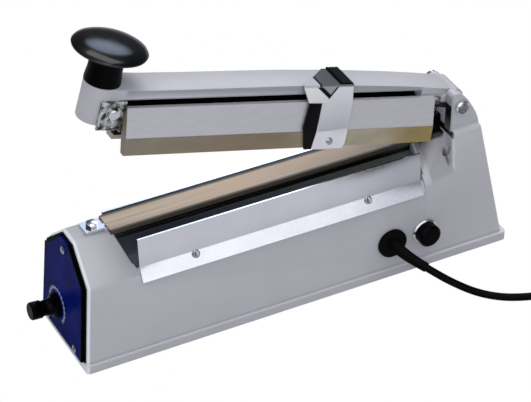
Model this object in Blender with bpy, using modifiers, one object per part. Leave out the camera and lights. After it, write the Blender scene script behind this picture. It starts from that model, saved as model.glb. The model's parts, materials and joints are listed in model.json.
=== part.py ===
"""Hand impulse bag sealer with a sliding side cutter, modelled in metres, +Z up.

Bench frame: X runs back from the foot of the casing's front face, Y across with
the cord on the -Y side, Z up from the table. The arm has a frame of its own at
the hinge, in which it lies level when closed. Its empty holds it open.
"""

import math

import bmesh
import bpy
from mathutils import Matrix, Vector

# Clearances
TOUCH_GAP = 0.0003
RUNNING_GAP = 0.0004
CLOSED_GAP = 0.0005
HOLE_GAP = 0.0002
OVERRUN = 0.010
MERGE = 0.000001
SKIM = 0.00001

# Casing
BODY_LENGTH = 0.4095
BASE_WIDTH = 0.0886
FOOT_DROP = 0.0006
HEM_HEIGHT = 0.0092
HEM_PROUD = 0.0006
HEM_REAR = 0.0022
HEM_CORNER = 0.0030
SHOULDER_INSET = 0.00255
SHOULDER_WIDTH = BASE_WIDTH - SHOULDER_INSET * 2
SHOULDER_Z = 0.0872
RIDGE_WIDTH = 0.0210
RIDGE_Z = 0.1145
FRONT_LEAN = math.radians(3.5)
REAR_LEAN = math.radians(10.3)
WALL = 0.0035
CASING_ROUND = 0.0030
TOWER_LENGTH = 0.0509
TOWER_FRONT_X = BODY_LENGTH - TOWER_LENGTH
TAPER_LENGTH = 0.0306
TAPER_START_X = TOWER_FRONT_X - TAPER_LENGTH
TOWER_TOP_Z = 0.1250
TOWER_INSET = 0.01335
TOWER_TOP_WIDTH = BASE_WIDTH - TOWER_INSET * 2
TOWER_SLOT = (0.0065, 0.0040, 0.0170)
TOWER_SLOT_Y = -0.0235
TOWER_SLOT_Z = 0.0965

# Rib for the jaw, and the pocket on each side of it
RIB_TOP_Z = 0.1050
RIB_WIDTH = 0.0255
JAW_START_X = 0.0400
JAW_REAR_ROOM = 0.0286
JAW_END_X = TOWER_FRONT_X - JAW_REAR_ROOM
POCKET_START_X = 0.0428
POCKET_SKEW = math.radians(18)
POCKET_REAR_ROOM = 0.0045
POCKET_END_X = JAW_END_X - POCKET_REAR_ROOM
POCKET_FLOOR_Z = 0.0882

# Hinge
HINGE_SET = 0.0084
HINGE_X = TOWER_FRONT_X + HINGE_SET
HINGE_Z = 0.1474
PIN_RADIUS = 0.0040
NEAR_EAR = (-0.0257, -0.0162)
FAR_EAR = (0.0140, 0.0205)
EAR_SEAT_Z = 0.1230
NEAR_EAR_OUTLINE = (
    (-0.0094, 0.0104), (-0.0084, 0.0129), (-0.0062, 0.0138), (-0.0032, 0.0136),
    (0.0002, 0.0116), (0.0038, 0.0084), (0.0074, 0.0038), (0.0126, -0.0051),
    (0.0160, -0.0115), (0.0182, -0.0172),
)
FAR_EAR_OUTLINE = (
    (-0.0084, 0.0020), (-0.0072, 0.0054), (-0.0042, 0.0078), (-0.0004, 0.0086),
    (0.0036, 0.0074), (0.0066, 0.0040), (0.0086, -0.0008), (0.0122, -0.0070),
    (0.0150, -0.0134), (0.0165, -0.0190),
)
HINGE_NUT_RADIUS = 0.0066
HINGE_NUT_HEIGHT = 0.0050
HINGE_HEAD_HEIGHT = 0.0050

# Arm: u is the reach forward of the hinge, w the height above it
ARM_OPEN_ANGLE = math.radians(15.2)
ARM_FRONT_WIDTH = 0.0300
NOSE_RADIUS = 0.0152
NOSE_TOP_W = 0.0208
NOSE_BOTTOM_W = -0.0128
LUG_REAR_U = 0.0028
LUG_BOTTOM_W = -0.0168
ARM_REAR_WIDTH = 0.0252
ARM_TOP_LINE = (
    (0.0040, 0.0098), (0.0300, 0.0122), (0.0610, 0.0144), (0.1150, 0.0170),
    (0.1730, 0.0184), (0.2590, 0.0184), (0.3050, 0.0187), (0.3416, 0.0205),
)
ARM_SIDE_FRONT_W = 0.0104
ARM_SIDE_REAR_W = 0.0088
ARM_SKIN = 0.0030
ARM_ROUND = 0.0016
ARM_CHEEK = 0.0004
TAIL_OUTLINE = (
    (0.0000, -0.0097), (0.0250, -0.0066), (0.0350, 0.0000), (0.0357, 0.0110),
    (0.0040, 0.0098), (-0.0030, 0.0092),
)
KNUCKLE_RADIUS = 0.0097

# Press bar and silicone
PRESS_FRONT_U = 0.3234
PRESS_REAR_U = 0.0390
PRESS_WIDTH = 0.0148
SILICONE_HEIGHT = 0.0050
SILICONE_WIDTH = 0.0100

# Guide rail on the near side, as its near outline in Y and height
RAIL_FRONT_U = 0.3234
RAIL_REAR_U = 0.0240
RAIL_LINE = ((-0.0180, 0.0048), (-0.0262, -0.0175), (-0.0288, -0.0325))
RAIL_WALL = 0.0014
RAIL_LIP = 0.0038
RAIL_END_DEPTH = 0.0060
TAPE_THICKNESS = 0.0003
TAPE_TOP_INSET = 0.0010

# Brackets that carry the bar and the rail
BRACKET_SHEET = 0.0018
BRACKET_OVERLAP = 0.0030
FRONT_BOLT = (0.3345, -0.0004)
FRONT_BOLT_RADIUS = 0.0054
FRONT_BOLT_HEIGHT = 0.0032
FRONT_EAR = (0.3470, -0.0150, 0.0105)
BOLT_REACH = 0.0046
REAR_BOLT = (0.0196, 0.0005)

# Palm knob
KNOB_U = 0.3416
KNOB_FOOT_RADIUS = 0.0154
KNOB_STEM_RADIUS = 0.0143
KNOB_STEM_HEIGHT = 0.0245
KNOB_CAP_RADIUS = 0.0316
KNOB_CAP_HEIGHT = 0.0125
STUD_RADIUS = 0.0040
STUD_IN_ARM = 0.0120
STUD_IN_KNOB = 0.0150

# Cutter carriage, its reaches measured from CARRIAGE_U
CARRIAGE_U = 0.1270
CARRIAGE_SHEET = 0.0015
CARRIAGE_UNDER_W = 0.0190
CARRIAGE_NEAR_Y = -0.0165
CARRIAGE_BOTTOM_W = -0.0325
STRAP = (-0.0150, 0.0025)
STRAP_FAR_Y = 0.0095
CREASE_U = 0.0165
WING_END_U = 0.0340
WING_FAR_Y = -0.0150
PLATE_STAND = 0.0010
SIDE_SHAPE = (
    (-0.0150, 0.0300), (-0.0150, 0.0160), (-0.0164, 0.0033), (-0.0130, -0.0150),
    (-0.0122, -0.0285), (-0.0100, -0.0330), (0.0272, -0.0330), (0.0308, -0.0143),
    (0.0262, 0.0040), (0.0336, 0.0177), (0.0336, 0.0300),
)
SHOE = (-0.0080, 0.0150)
SHOE_TOP_W = 0.0030
SHOE_BOTTOM_W = -0.0140
SHOE_THICKNESS = 0.0008
GRIP_HEIGHT = 0.0014
GRIP = (-0.0140, -0.0020)
GRIP_RIDGES = 4
BLADE_THICKNESS = 0.0006
BLADE = (-0.0070, 0.0110)
BLADE_TOP_W = -0.0200
BLADE_TIP_W = -0.0345
BLADE_SCREW_U = 0.0035
BLADE_SCREW_W = -0.0262
BLADE_SCREW_RADIUS = 0.0030

# Jaw on the rib
JAW_WIDTH = 0.0225
ELEMENT_WIDTH = 0.0030
ELEMENT_THICKNESS = 0.0002
STRIP_THICKNESS = 0.0003
STRIP_HEM = 0.0030
FRONT_CLAMP_LENGTH = 0.0170
REAR_CLAMP_LENGTH = 0.0110
CLAMP_OVERLAP = 0.0033
CLAMP_WIDTH = 0.0150
CLAMP_HEIGHT = 0.0030
FRONT_CLAMP_X = 0.0285
REAR_CLAMP_SET = 0.0085
REAR_CLAMP_X = JAW_END_X + REAR_CLAMP_SET
CLAMP_NUT_RADIUS = 0.0054
CLAMP_NUT_HEIGHT = 0.0034

# Cover plates
COVER_START_X = 0.0536
COVER_REAR_GAP = 0.0031
COVER_END_X = POCKET_END_X - COVER_REAR_GAP
COVER_SHEET = 0.0015
COVER_INSETS = (0.00675, 0.00375, -0.00315)
COVER_HEIGHTS = (0.1173, 0.0911, 0.0793)
COVER_LINE = tuple(
    (inset - SHOULDER_WIDTH / 2, height) for inset, height in zip(COVER_INSETS, COVER_HEIGHTS)
)
COVER_FAR_TOP_Z = 0.0985
COVER_SCREW_SHARE = 0.55
COVER_END_SHARES = (0.1894, 0.8025)
COVER_SCREW_XS = tuple(
    COVER_START_X + (COVER_END_X - COVER_START_X) * share for share in COVER_END_SHARES
)

# Screws
SCREW_RADIUS = 0.0036
SCREW_HEIGHT = 0.0020
SHANK_RADIUS = 0.0015
SHANK_LENGTH = 0.0060
SLOT_SHARE = 0.25

# Front panel and timer
GASKET_MARGIN = 0.0022
PANEL_MARGIN = 0.0040
PANEL_THICKNESS = 0.0022
GASKET_THICKNESS = 0.0012
PANEL_FOOT_Z = 0.0112
PANEL_SCREWS = ((-0.0270, 0.0170), (0.0270, 0.0170), (0.0000, 0.1010))
TIMER_Y = 0.0105
TIMER_Z = 0.0370
SKIRT_RADIUS = 0.0108
SKIRT_HEIGHT = 0.0042
NECK_RADIUS = 0.0066
CAP_RADIUS = 0.0078
CAP_LENGTH = 0.0095
TIMER_REACH = 0.0246
SHAFT_RADIUS = 0.0030
POT_RADIUS = 0.0089
POT_DEPTH = 0.0095

# Underside
BASE_SHEET = 0.0015
BASE_INSET = 0.0004
BASE_RISE = 0.0020
FOOT_RADIUS = 0.0080
FOOT_INSET_X = 0.0270
FOOT_INSET_Y = 0.0190

# Electrics inside
TRANSFORMER_X = 0.2100
CORE = (0.0690, 0.0300, 0.0540)
CORE_LEG = 0.0200
CORE_YOKE = 0.0100
WINDING_OVERHANG = 0.0090
WINDING_PLAY = 0.0010
BOARD = (0.0016, 0.0500, 0.0450)
BOARD_X = 0.0400
SWITCH = (0.0200, 0.0060, 0.0100)
SWITCH_BAY = (0.0240, 0.0080, 0.0260)
PLUNGER_RADIUS = 0.0018
PLUNGER_U = 0.0150
PLUNGER_Y = 0.0058
PLUNGER_SINK = 0.0050
SPRING_U = 0.0150
SPRING_Y = -0.0050
SPRING_RADIUS = 0.0035
WIRE_RADIUS = 0.0005
SPRING_CURLS = 6
POINTS_PER_CURL = 10
SPRING_BOX = (0.0130, 0.0206, 0.0180)
SPRING_BOX_SET = 0.0161
SPRING_BOX_X = HINGE_X - SPRING_BOX_SET

# Cord entry and fuse on the near wall
GLAND_FROM_REAR = 0.1169
GLAND_X = BODY_LENGTH - GLAND_FROM_REAR
GLAND_Z = 0.0372
GLAND_RADIUS = 0.0136
GLAND_HEIGHT = 0.0046
RELIEF_RADIUS = 0.0058
RELIEF_END_RADIUS = 0.0043
RELIEF_POINTS = 6
RELIEF_START = 1.6
GLAND_NECK_RADIUS = 0.0068
FUSE_FROM_REAR = 0.0837
FUSE_X = BODY_LENGTH - FUSE_FROM_REAR
FUSE_Z = 0.0388
BEZEL_RADIUS = 0.0122
BEZEL_HEIGHT = 0.0030
FUSE_CAP_RADIUS = 0.0105
FUSE_CAP_HEIGHT = 0.0090
BARREL_RADIUS = 0.0065
BARREL_LENGTH = 0.0260
BARREL_WALL = 0.0015
LINK_RADIUS = 0.0025
LINK_LENGTH = 0.0200

# Mains cord
CORD_RADIUS = 0.0034
ROUTE_SHARES = 2
COIL_X = 0.4360
COIL_Y = -0.1850
COIL_START_ANGLE = math.radians(92)
COIL_RADIUS = 0.0400
LAYER_TURNS = 2.75
COIL_GAP = 0.0008
LOOP_POINTS = 24
TIE_WIDTH = 0.0070
TIE_SHEET = 0.0012
TIE_ANGLE = math.radians(20)
PLUG_BODY = (0.0340, 0.0280, 0.0180)
PLUG_NECK_LENGTH = 0.0200
BLADE_PIN_RADIUS = 0.0022
BLADE_PIN_LENGTH = 0.0180
BLADE_PIN_SPREAD = 0.0190
CORD_ROUTE = (
    (0.2990, -0.0625, 0.0322), (0.3090, -0.0770, 0.0265), (0.3250, -0.0925, 0.0165),
    (0.3430, -0.1060, 0.0080), (0.3620, -0.1180, 0.0042), (0.3840, -0.1280, 0.0037),
    (0.4090, -0.1340, 0.0037),
)

# Colour, metalness and roughness by slot
SLOTS = {
    "grey_paint": ((0.60, 0.60, 0.62), 0.0, 0.45),
    "blue_panel": ((0.02, 0.03, 0.20), 0.0, 0.40),
    "black_plastic": ((0.02, 0.02, 0.02), 0.0, 0.35),
    "black_rubber": ((0.03, 0.03, 0.03), 0.0, 0.80),
    "polished_steel": ((0.75, 0.75, 0.78), 1.0, 0.15),
    "zinc_steel": ((0.60, 0.60, 0.62), 1.0, 0.30),
    "tan_tape": ((0.52, 0.42, 0.28), 0.0, 0.45),
    "white_plastic": ((0.80, 0.80, 0.78), 0.0, 0.40),
    "silicone": ((0.75, 0.70, 0.62), 0.0, 0.60),
    "copper": ((0.70, 0.30, 0.12), 1.0, 0.35),
    "board": ((0.05, 0.25, 0.10), 0.0, 0.50),
    "clear_glass": ((0.85, 0.90, 0.92), 0.0, 0.05),
}


def clear_scene():
    """Remove whatever the scene starts with."""
    for obj in list(bpy.data.objects):
        bpy.data.objects.remove(obj, do_unlink=True)


def new_collection(name):
    made = bpy.data.collections.new(name)
    bpy.context.scene.collection.children.link(made)
    return made


clear_scene()
PARTS = new_collection("bag_sealer")
CUTTERS = new_collection("cutters")
CUTTERS.hide_render = True


def make_material(name, slot):
    """Material of one sub-part, from its slot."""
    colour, metalness, roughness = SLOTS[slot]
    made = bpy.data.materials.new(name)
    made.use_nodes = True
    shader = made.node_tree.nodes["Principled BSDF"]
    shader.inputs["Base Color"].default_value = (*colour, 1.0)
    shader.inputs["Metallic"].default_value = metalness
    shader.inputs["Roughness"].default_value = roughness
    return made


def empty(name, parent=None, place=Matrix()):
    made = bpy.data.objects.new(name, None)
    PARTS.objects.link(made)
    made.parent = parent
    made.matrix_local = place
    return made


def part(name, data, slot, parent, place=Matrix()):
    """One sub-part with its own material."""
    made = bpy.data.objects.new(name, data)
    PARTS.objects.link(made)
    made.parent = parent
    made.matrix_local = place
    data.materials.append(make_material(name, slot))
    return made


def cutter(mesh, parent, place=Matrix()):
    """A helper object for a Boolean."""
    made = bpy.data.objects.new("cutter", mesh)
    CUTTERS.objects.link(made)
    made.parent = parent
    made.matrix_local = place
    made.hide_render = True
    made.display_type = "WIRE"
    return made


def combine(target, other, operation="DIFFERENCE"):
    """Cut the target by another object, or join it on."""
    modifier = target.modifiers.new(operation.lower(), "BOOLEAN")
    modifier.operation = operation
    modifier.solver = "EXACT"
    modifier.object = other


def round_edges(target, width, segments=2, angle=math.radians(30)):
    modifier = target.modifiers.new("round", "BEVEL")
    modifier.width = width
    modifier.segments = segments
    modifier.limit_method = "ANGLE"
    modifier.angle_limit = angle


def at(x=0, y=0, z=0):
    return Matrix.Translation((x, y, z))


def facing(point, normal, up=Vector((0, 0, 1))):
    """Frame at a point whose Z is the normal and whose Y leans towards up."""
    z_axis = Vector(normal).normalized()
    x_axis = up.cross(z_axis).normalized()
    y_axis = z_axis.cross(x_axis)
    turn = Matrix((x_axis, y_axis, z_axis)).transposed().to_4x4()
    return Matrix.Translation(point) @ turn


def finished(bm, name="shape"):
    """Mesh of a bmesh, its normals outward and its double points merged."""
    bmesh.ops.remove_doubles(bm, verts=bm.verts, dist=MERGE)
    bmesh.ops.recalc_face_normals(bm, faces=bm.faces)
    mesh = bpy.data.meshes.new(name)
    bm.to_mesh(mesh)
    bm.free()
    return mesh


def block(low, high):
    """Box between two corners."""
    bm = bmesh.new()
    bmesh.ops.create_cube(bm, size=1)
    middle = (Vector(low) + Vector(high)) / 2
    size = Vector(high) - Vector(low)
    for vert in bm.verts:
        vert.co = middle + vert.co * size
    return finished(bm)


def rod(radius, low, high, segments=24):
    """Cylinder about Z between two heights."""
    bm = bmesh.new()
    bmesh.ops.create_cone(
        bm, cap_ends=True, segments=segments, radius1=radius, radius2=radius, depth=high - low
    )
    bmesh.ops.translate(bm, verts=bm.verts, vec=(0, 0, (low + high) / 2))
    return finished(bm)


def loft(sections):
    """Closed solid through sections that hold the same number of points."""
    bm = bmesh.new()
    rings = [[bm.verts.new(point) for point in section] for section in sections]
    for first, second in zip(rings, rings[1:]):
        for i in range(len(first)):
            j = (i + 1) % len(first)
            bm.faces.new((first[i], first[j], second[j], second[i]))
    bm.faces.new(rings[0][::-1])
    bm.faces.new(rings[-1])
    bmesh.ops.remove_doubles(bm, verts=bm.verts, dist=MERGE)
    bmesh.ops.dissolve_degenerate(bm, dist=MERGE, edges=bm.edges)
    return finished(bm)


def flat(outline, low, high):
    """Flat outline in XY, filled and extruded between two heights."""
    curve = bpy.data.curves.new("outline", "CURVE")
    curve.dimensions = "2D"
    curve.fill_mode = "BOTH"
    curve.extrude = (high - low) / 2
    spline = curve.splines.new("POLY")
    spline.points.add(len(outline) - 1)
    for point, (x, y) in zip(spline.points, outline):
        point.co = (x, y, 0, 1)
    spline.use_cyclic_u = True
    holder = bpy.data.objects.new("outline", curve)
    bm = bmesh.new()
    bm.from_mesh(bpy.data.meshes.new_from_object(holder))
    bpy.data.objects.remove(holder)
    bpy.data.curves.remove(curve)
    bmesh.ops.translate(bm, verts=bm.verts, vec=(0, 0, (low + high) / 2))
    return finished(bm)


def turned(name, profile, slot, parent, place=Matrix(), steps=32, closed=False):
    """Profile at +X, listed from the top down, turned about Z."""
    count = len(profile)
    edges = [(i, i + 1) for i in range(count - 1)]
    if closed:
        edges.append((count - 1, 0))
    mesh = bpy.data.meshes.new(name)
    mesh.from_pydata([(r, 0, z) for r, z in profile], edges, [])
    made = part(name, mesh, slot, parent, place)
    screw = made.modifiers.new("turn", "SCREW")
    screw.steps = steps
    screw.render_steps = steps
    screw.use_merge_vertices = True
    screw.merge_threshold = MERGE
    screw.use_smooth_shade = True
    return made


def tube(name, points, radius, slot, parent, resolution, place=Matrix()):
    """Round bar along points."""
    curve = bpy.data.curves.new(name, "CURVE")
    curve.dimensions = "3D"
    curve.bevel_depth = radius
    curve.bevel_resolution = resolution
    curve.use_fill_caps = True
    spline = curve.splines.new("POLY")
    spline.points.add(len(points) - 1)
    for point, place_at in zip(spline.points, points):
        point.co = (*place_at, 1)
    return part(name, curve, slot, parent, place)


def tube_mesh(points, radii, resolution):
    """Closed mesh of a round bar whose radius changes along it."""
    curve = bpy.data.curves.new("tube", "CURVE")
    curve.dimensions = "3D"
    curve.bevel_depth = radii[0]
    curve.bevel_resolution = resolution
    curve.use_fill_caps = True
    spline = curve.splines.new("POLY")
    spline.points.add(len(points) - 1)
    for point, place_at, radius in zip(spline.points, points, radii):
        point.co = (*place_at, 1)
        point.radius = radius / radii[0]
    holder = bpy.data.objects.new("tube", curve)
    bm = bmesh.new()
    bm.from_mesh(bpy.data.meshes.new_from_object(holder))
    bpy.data.objects.remove(holder)
    bpy.data.curves.remove(curve)
    return finished(bm)


def smooth_through(points, count):
    """Points of a smooth curve through the given ones, Catmull-Rom with open ends."""
    ends = [points[0] * 2 - points[1], *points, points[-1] * 2 - points[-2]]
    made = []
    for i in range(1, len(ends) - 2):
        before, start, stop, after = ends[i - 1:i + 3]
        for k in range(count):
            t = k / count
            made.append(0.5 * (
                start * 2 + (stop - before) * t
                + (before * 2 - start * 5 + stop * 4 - after) * t ** 2
                + (start * 3 - before - stop * 3 + after) * t ** 3
            ))
    made.append(points[-1])
    return made


def slotted_screw(name, parent, place, slot="zinc_steel", turn=0.0):
    """Domed screw whose seat is the frame's XY plane, with its shank into the wall."""
    made = turned(name, (
        (0, SCREW_HEIGHT), (SCREW_RADIUS * 0.7, SCREW_HEIGHT * 0.85),
        (SCREW_RADIUS, SCREW_HEIGHT * 0.4), (SCREW_RADIUS, TOUCH_GAP),
        (SHANK_RADIUS, TOUCH_GAP), (SHANK_RADIUS, -SHANK_LENGTH), (0, -SHANK_LENGTH),
    ), slot, parent, place, steps=16)
    half = SCREW_RADIUS * SLOT_SHARE / 2
    groove = block(
        (-half, -SCREW_RADIUS * 2, SCREW_HEIGHT * 0.5), (half, SCREW_RADIUS * 2, SCREW_HEIGHT * 2)
    )
    combine(made, cutter(groove, parent, place @ Matrix.Rotation(turn, 4, "Z")))
    return made


def hex_bolt(name, parent, place, radius, height):
    """Hexagon-headed bolt standing on a frame."""
    return turned(name, (
        (0, height), (radius * 0.8, height), (radius, height * 0.8), (radius, TOUCH_GAP),
        (SHANK_RADIUS, TOUCH_GAP), (SHANK_RADIUS, -SHANK_LENGTH), (0, -SHANK_LENGTH),
    ), "polished_steel", parent, place, steps=6)


def drill(target, parent, place, radius, depth, overrun=OVERRUN):
    """Round hole down the frame's Z axis."""
    combine(target, cutter(rod(radius, -depth, overrun), parent, place))


def screw_hole(target, parent, place):
    drill(target, parent, place, SHANK_RADIUS + HOLE_GAP, SHANK_LENGTH + TOUCH_GAP)


# Casing

def front_x(z):
    return z * math.tan(FRONT_LEAN)


def rear_x(z):
    return BODY_LENGTH - z * math.tan(REAR_LEAN)


def tower_half(z):
    """Half width of the tower, which tapers straight from the foot to its top."""
    share = z / TOWER_TOP_Z
    return BASE_WIDTH / 2 * (1 - share) + TOWER_TOP_WIDTH / 2 * share


def side_half(x, z):
    """Half width of the casing's side below the shoulder."""
    share = min(max((x - TAPER_START_X) / (TOWER_FRONT_X - TAPER_START_X), 0), 1)
    shoulder = SHOULDER_WIDTH / 2 * (1 - share) + tower_half(SHOULDER_Z) * share
    rise = z / SHOULDER_Z
    return BASE_WIDTH / 2 * (1 - rise) + shoulder * rise


def casing_section(x_at, x_width, top_half, top_z):
    half_section = (
        (side_half(x_width, FOOT_DROP), FOOT_DROP),
        (side_half(x_width, SHOULDER_Z), SHOULDER_Z),
        (top_half, top_z),
    )
    points = [(x_at(z), -y, z) for y, z in half_section]
    return points + [(x_at(z), y, z) for y, z in reversed(half_section)]


def casing_solid():
    ridge = RIDGE_WIDTH / 2
    tower = TOWER_TOP_WIDTH / 2
    return loft((
        casing_section(front_x, 0, ridge, RIDGE_Z),
        casing_section(lambda z: TAPER_START_X, TAPER_START_X, ridge, RIDGE_Z),
        casing_section(lambda z: TOWER_FRONT_X, TOWER_FRONT_X, ridge, RIDGE_Z),
        casing_section(lambda z: TOWER_FRONT_X, TOWER_FRONT_X, tower, TOWER_TOP_Z),
        casing_section(rear_x, BODY_LENGTH, tower, TOWER_TOP_Z),
    ))


def hollow_section(x_at, x_width, ceiling, floor):
    points = []
    for sign, heights in ((-1, (floor, ceiling)), (1, (ceiling, floor))):
        points += [(x_at(z), sign * (side_half(x_width, z) - WALL), z) for z in heights]
    return points


def hollow_solid():
    ceiling = POCKET_FLOOR_Z - WALL
    floor = FOOT_DROP - OVERRUN
    return loft((
        hollow_section(lambda z: front_x(z) + WALL, 0, ceiling, floor),
        hollow_section(lambda z: TAPER_START_X, TAPER_START_X, ceiling, floor),
        hollow_section(lambda z: TOWER_FRONT_X, TOWER_FRONT_X, ceiling, floor),
        hollow_section(lambda z: rear_x(z) - WALL, BODY_LENGTH, ceiling, floor),
    ))


def hem_solid():
    """Upright hem round the casing's foot, a little proud of the walls."""
    half = BASE_WIDTH / 2 + HEM_PROUD
    cut = HEM_CORNER
    rear = BODY_LENGTH + HEM_REAR
    near = [
        (0, cut - half), (cut * 0.3, cut * 0.3 - half), (cut, -half),
        (rear - cut, -half), (rear - cut * 0.3, cut * 0.3 - half), (rear, cut - half),
    ]
    return flat(near + [(x, -y) for x, y in reversed(near)], FOOT_DROP, HEM_HEIGHT)


def cover_line_at(offset):
    """The cover plate's near outline moved sideways into the casing."""
    (top_y, top_z), (fold_y, fold_z), (foot_y, foot_z) = COVER_LINE
    return ((top_y + offset, top_z), (fold_y + offset, fold_z), (foot_y + offset, foot_z))


def pocket_solid(side):
    """Room above the pocket floor, its front skewed, cut down along the cover's flange."""
    _, fold, foot = cover_line_at(COVER_SHEET / math.cos(flange_lean()) + TOUCH_GAP)
    slope = (foot[0] - fold[0]) / (foot[1] - fold[1])
    floor_y = fold[0] + slope * (POCKET_FLOOR_Z - fold[1])
    outline = [
        (-RIB_WIDTH / 2, RIDGE_Z + OVERRUN), (-RIB_WIDTH / 2, POCKET_FLOOR_Z),
        (floor_y, POCKET_FLOOR_Z), foot, (foot[0] - OVERRUN, foot[1]),
        (foot[0] - OVERRUN, RIDGE_Z + OVERRUN),
    ]
    skew = math.tan(POCKET_SKEW)
    front = [POCKET_START_X - (y + RIB_WIDTH / 2) * skew for y, _ in outline]
    return loft([
        [(x, -side * y, z) for x, (y, z) in zip(places, outline)]
        for places in (front, [POCKET_END_X] * len(outline))
    ])


def flange_lean():
    """Lean of the cover plate's flange away from upright."""
    _, fold, foot = COVER_LINE
    return math.atan2(fold[0] - foot[0], fold[1] - foot[1])


def ear_solid(outline, low_y, high_y):
    """Ear of the hinge: upright front, round top, back sloping down to the tower's."""
    rear = rear_x(EAR_SEAT_Z) - TOUCH_GAP - HINGE_X
    seat = EAR_SEAT_Z - HINGE_Z
    shape = [(outline[0][0], seat), *outline, (rear, seat)]
    return flat([(HINGE_X + x, HINGE_Z + z) for x, z in shape], -high_y, -low_y)


SIDE_VIEW = Matrix(((1, 0, 0, 0), (0, 0, -1, 0), (0, 1, 0, 0), (0, 0, 0, 1)))


def hinge_frame():
    return facing((HINGE_X, 0, HINGE_Z), (0, -1, 0))


def wall_frame(x, z, side=-1):
    """Frame on the outside of the casing's side wall, its Z pointing out."""
    def point(px, pz):
        return Vector((px, side * side_half(px, pz), pz))
    along = point(x + TOUCH_GAP, z) - point(x, z)
    up = point(x, z + TOUCH_GAP) - point(x, z)
    normal = along.cross(up)
    if normal.y * side < 0:
        normal.negate()
    return facing(point(x, z), normal)


def panel_frame(y, z, out):
    """Frame on the front wall, its Z pointing out of the panel."""
    normal = Vector((-math.cos(FRONT_LEAN), 0, math.sin(FRONT_LEAN)))
    return facing(Vector((front_x(z), y, z)) + normal * out, normal)


def flange_frame(x, side):
    """Frame on the outside of the cover plate's flange."""
    _, fold, foot = COVER_LINE
    lean = flange_lean()
    middle = ((fold[0] + foot[0]) / 2, (fold[1] + foot[1]) / 2)
    y = middle[0] + (fold[0] - middle[0]) * COVER_SCREW_SHARE
    z = middle[1] + (fold[1] - middle[1]) * COVER_SCREW_SHARE
    return facing((x, -side * y, z), (0, side * math.cos(lean), math.sin(lean)))


def switch_bay():
    """Bay in the ridge for the micro switch."""
    length, width, height = SWITCH_BAY
    x = HINGE_X - PLUNGER_U
    top = RIDGE_Z - WALL
    return block(
        (x - length / 2, PLUNGER_Y - width / 2, top - height),
        (x + length / 2, PLUNGER_Y + width / 2, top),
    )


def make_casing(root):
    casing = part("casing", casing_solid(), "grey_paint", root)
    round_edges(casing, CASING_ROUND)
    for outline, across in ((NEAR_EAR_OUTLINE, NEAR_EAR), (FAR_EAR_OUTLINE, FAR_EAR)):
        combine(casing, cutter(ear_solid(outline, *across), root, SIDE_VIEW), "UNION")
    combine(casing, cutter(hem_solid(), root), "UNION")
    combine(casing, cutter(hollow_solid(), root))
    for side in (-1, 1):
        combine(casing, cutter(pocket_solid(side), root))
    channel = block(
        (JAW_START_X, -RIB_WIDTH / 2 - SKIM, RIB_TOP_Z),
        (JAW_END_X, RIB_WIDTH / 2 + SKIM, RIDGE_Z + OVERRUN),
    )
    combine(casing, cutter(channel, root))
    combine(casing, cutter(switch_bay(), root))
    drill(casing, root, hinge_frame(), PIN_RADIUS + RUNNING_GAP, BASE_WIDTH / 2, BASE_WIDTH / 2)
    plunger_at = at(HINGE_X - PLUNGER_U, PLUNGER_Y, RIDGE_Z)
    drill(casing, root, plunger_at, PLUNGER_RADIUS + RUNNING_GAP, WALL * 2)
    drill(casing, root, wall_frame(GLAND_X, GLAND_Z), GLAND_NECK_RADIUS + TOUCH_GAP, WALL * 3)
    drill(casing, root, wall_frame(FUSE_X, FUSE_Z), BARREL_RADIUS + TOUCH_GAP, WALL * 3)
    drill(casing, root, panel_frame(TIMER_Y, TIMER_Z, 0), SHAFT_RADIUS + RUNNING_GAP, WALL * 3)
    for y, z in PANEL_SCREWS:
        screw_hole(casing, root, panel_frame(y, z, PANEL_THICKNESS + GASKET_THICKNESS + TOUCH_GAP * 2))
    for side in (-1, 1):
        for x in COVER_SCREW_XS:
            screw_hole(casing, root, flange_frame(x, side))
    for x in (FRONT_CLAMP_X, REAR_CLAMP_X):
        screw_hole(casing, root, at(x, 0, RIDGE_Z))
    depth, width, height = TOWER_SLOT
    combine(casing, cutter(block(
        (TOWER_FRONT_X - depth, TOWER_SLOT_Y - width / 2, TOWER_SLOT_Z - height / 2),
        (TOWER_FRONT_X + depth, TOWER_SLOT_Y + width / 2, TOWER_SLOT_Z + height / 2),
    ), root))


# Front panel, timer and underside

def panel_outline(margin):
    """Outline of the front face drawn in from its edges, as Y and distance up the lean."""
    lean = math.cos(FRONT_LEAN)
    low = PANEL_FOOT_Z
    high = RIDGE_Z - margin
    low_half = side_half(0, low) - margin
    waist_half = side_half(0, SHOULDER_Z) - margin
    waist_z = SHOULDER_Z - margin * 0.4
    high_half = RIDGE_WIDTH / 2 - margin * 0.25
    half = ((low_half, low), (waist_half, waist_z), (high_half, high))
    outline = [(y, z / lean) for y, z in half]
    return outline + [(-y, z / lean) for y, z in reversed(half)]


def make_front(root):
    sheet = facing((0, 0, 0), (-math.cos(FRONT_LEAN), 0, math.sin(FRONT_LEAN)))
    gasket = part("panel_gasket", flat(
        panel_outline(GASKET_MARGIN), TOUCH_GAP, TOUCH_GAP + GASKET_THICKNESS
    ), "black_rubber", root, sheet)
    seat = GASKET_THICKNESS + TOUCH_GAP * 2
    panel = part("front_panel", flat(
        panel_outline(PANEL_MARGIN), seat, seat + PANEL_THICKNESS
    ), "blue_panel", root, sheet)
    surface = seat + PANEL_THICKNESS
    for target in (gasket, panel):
        drill(target, root, panel_frame(TIMER_Y, TIMER_Z, 0), SHAFT_RADIUS + RUNNING_GAP, WALL)
        for y, z in PANEL_SCREWS:
            screw_hole(target, root, panel_frame(y, z, surface))
    for number, (y, z) in enumerate(PANEL_SCREWS, 1):
        slotted_screw(f"panel_screw_{number}", root, panel_frame(y, z, surface))
    return surface


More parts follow.
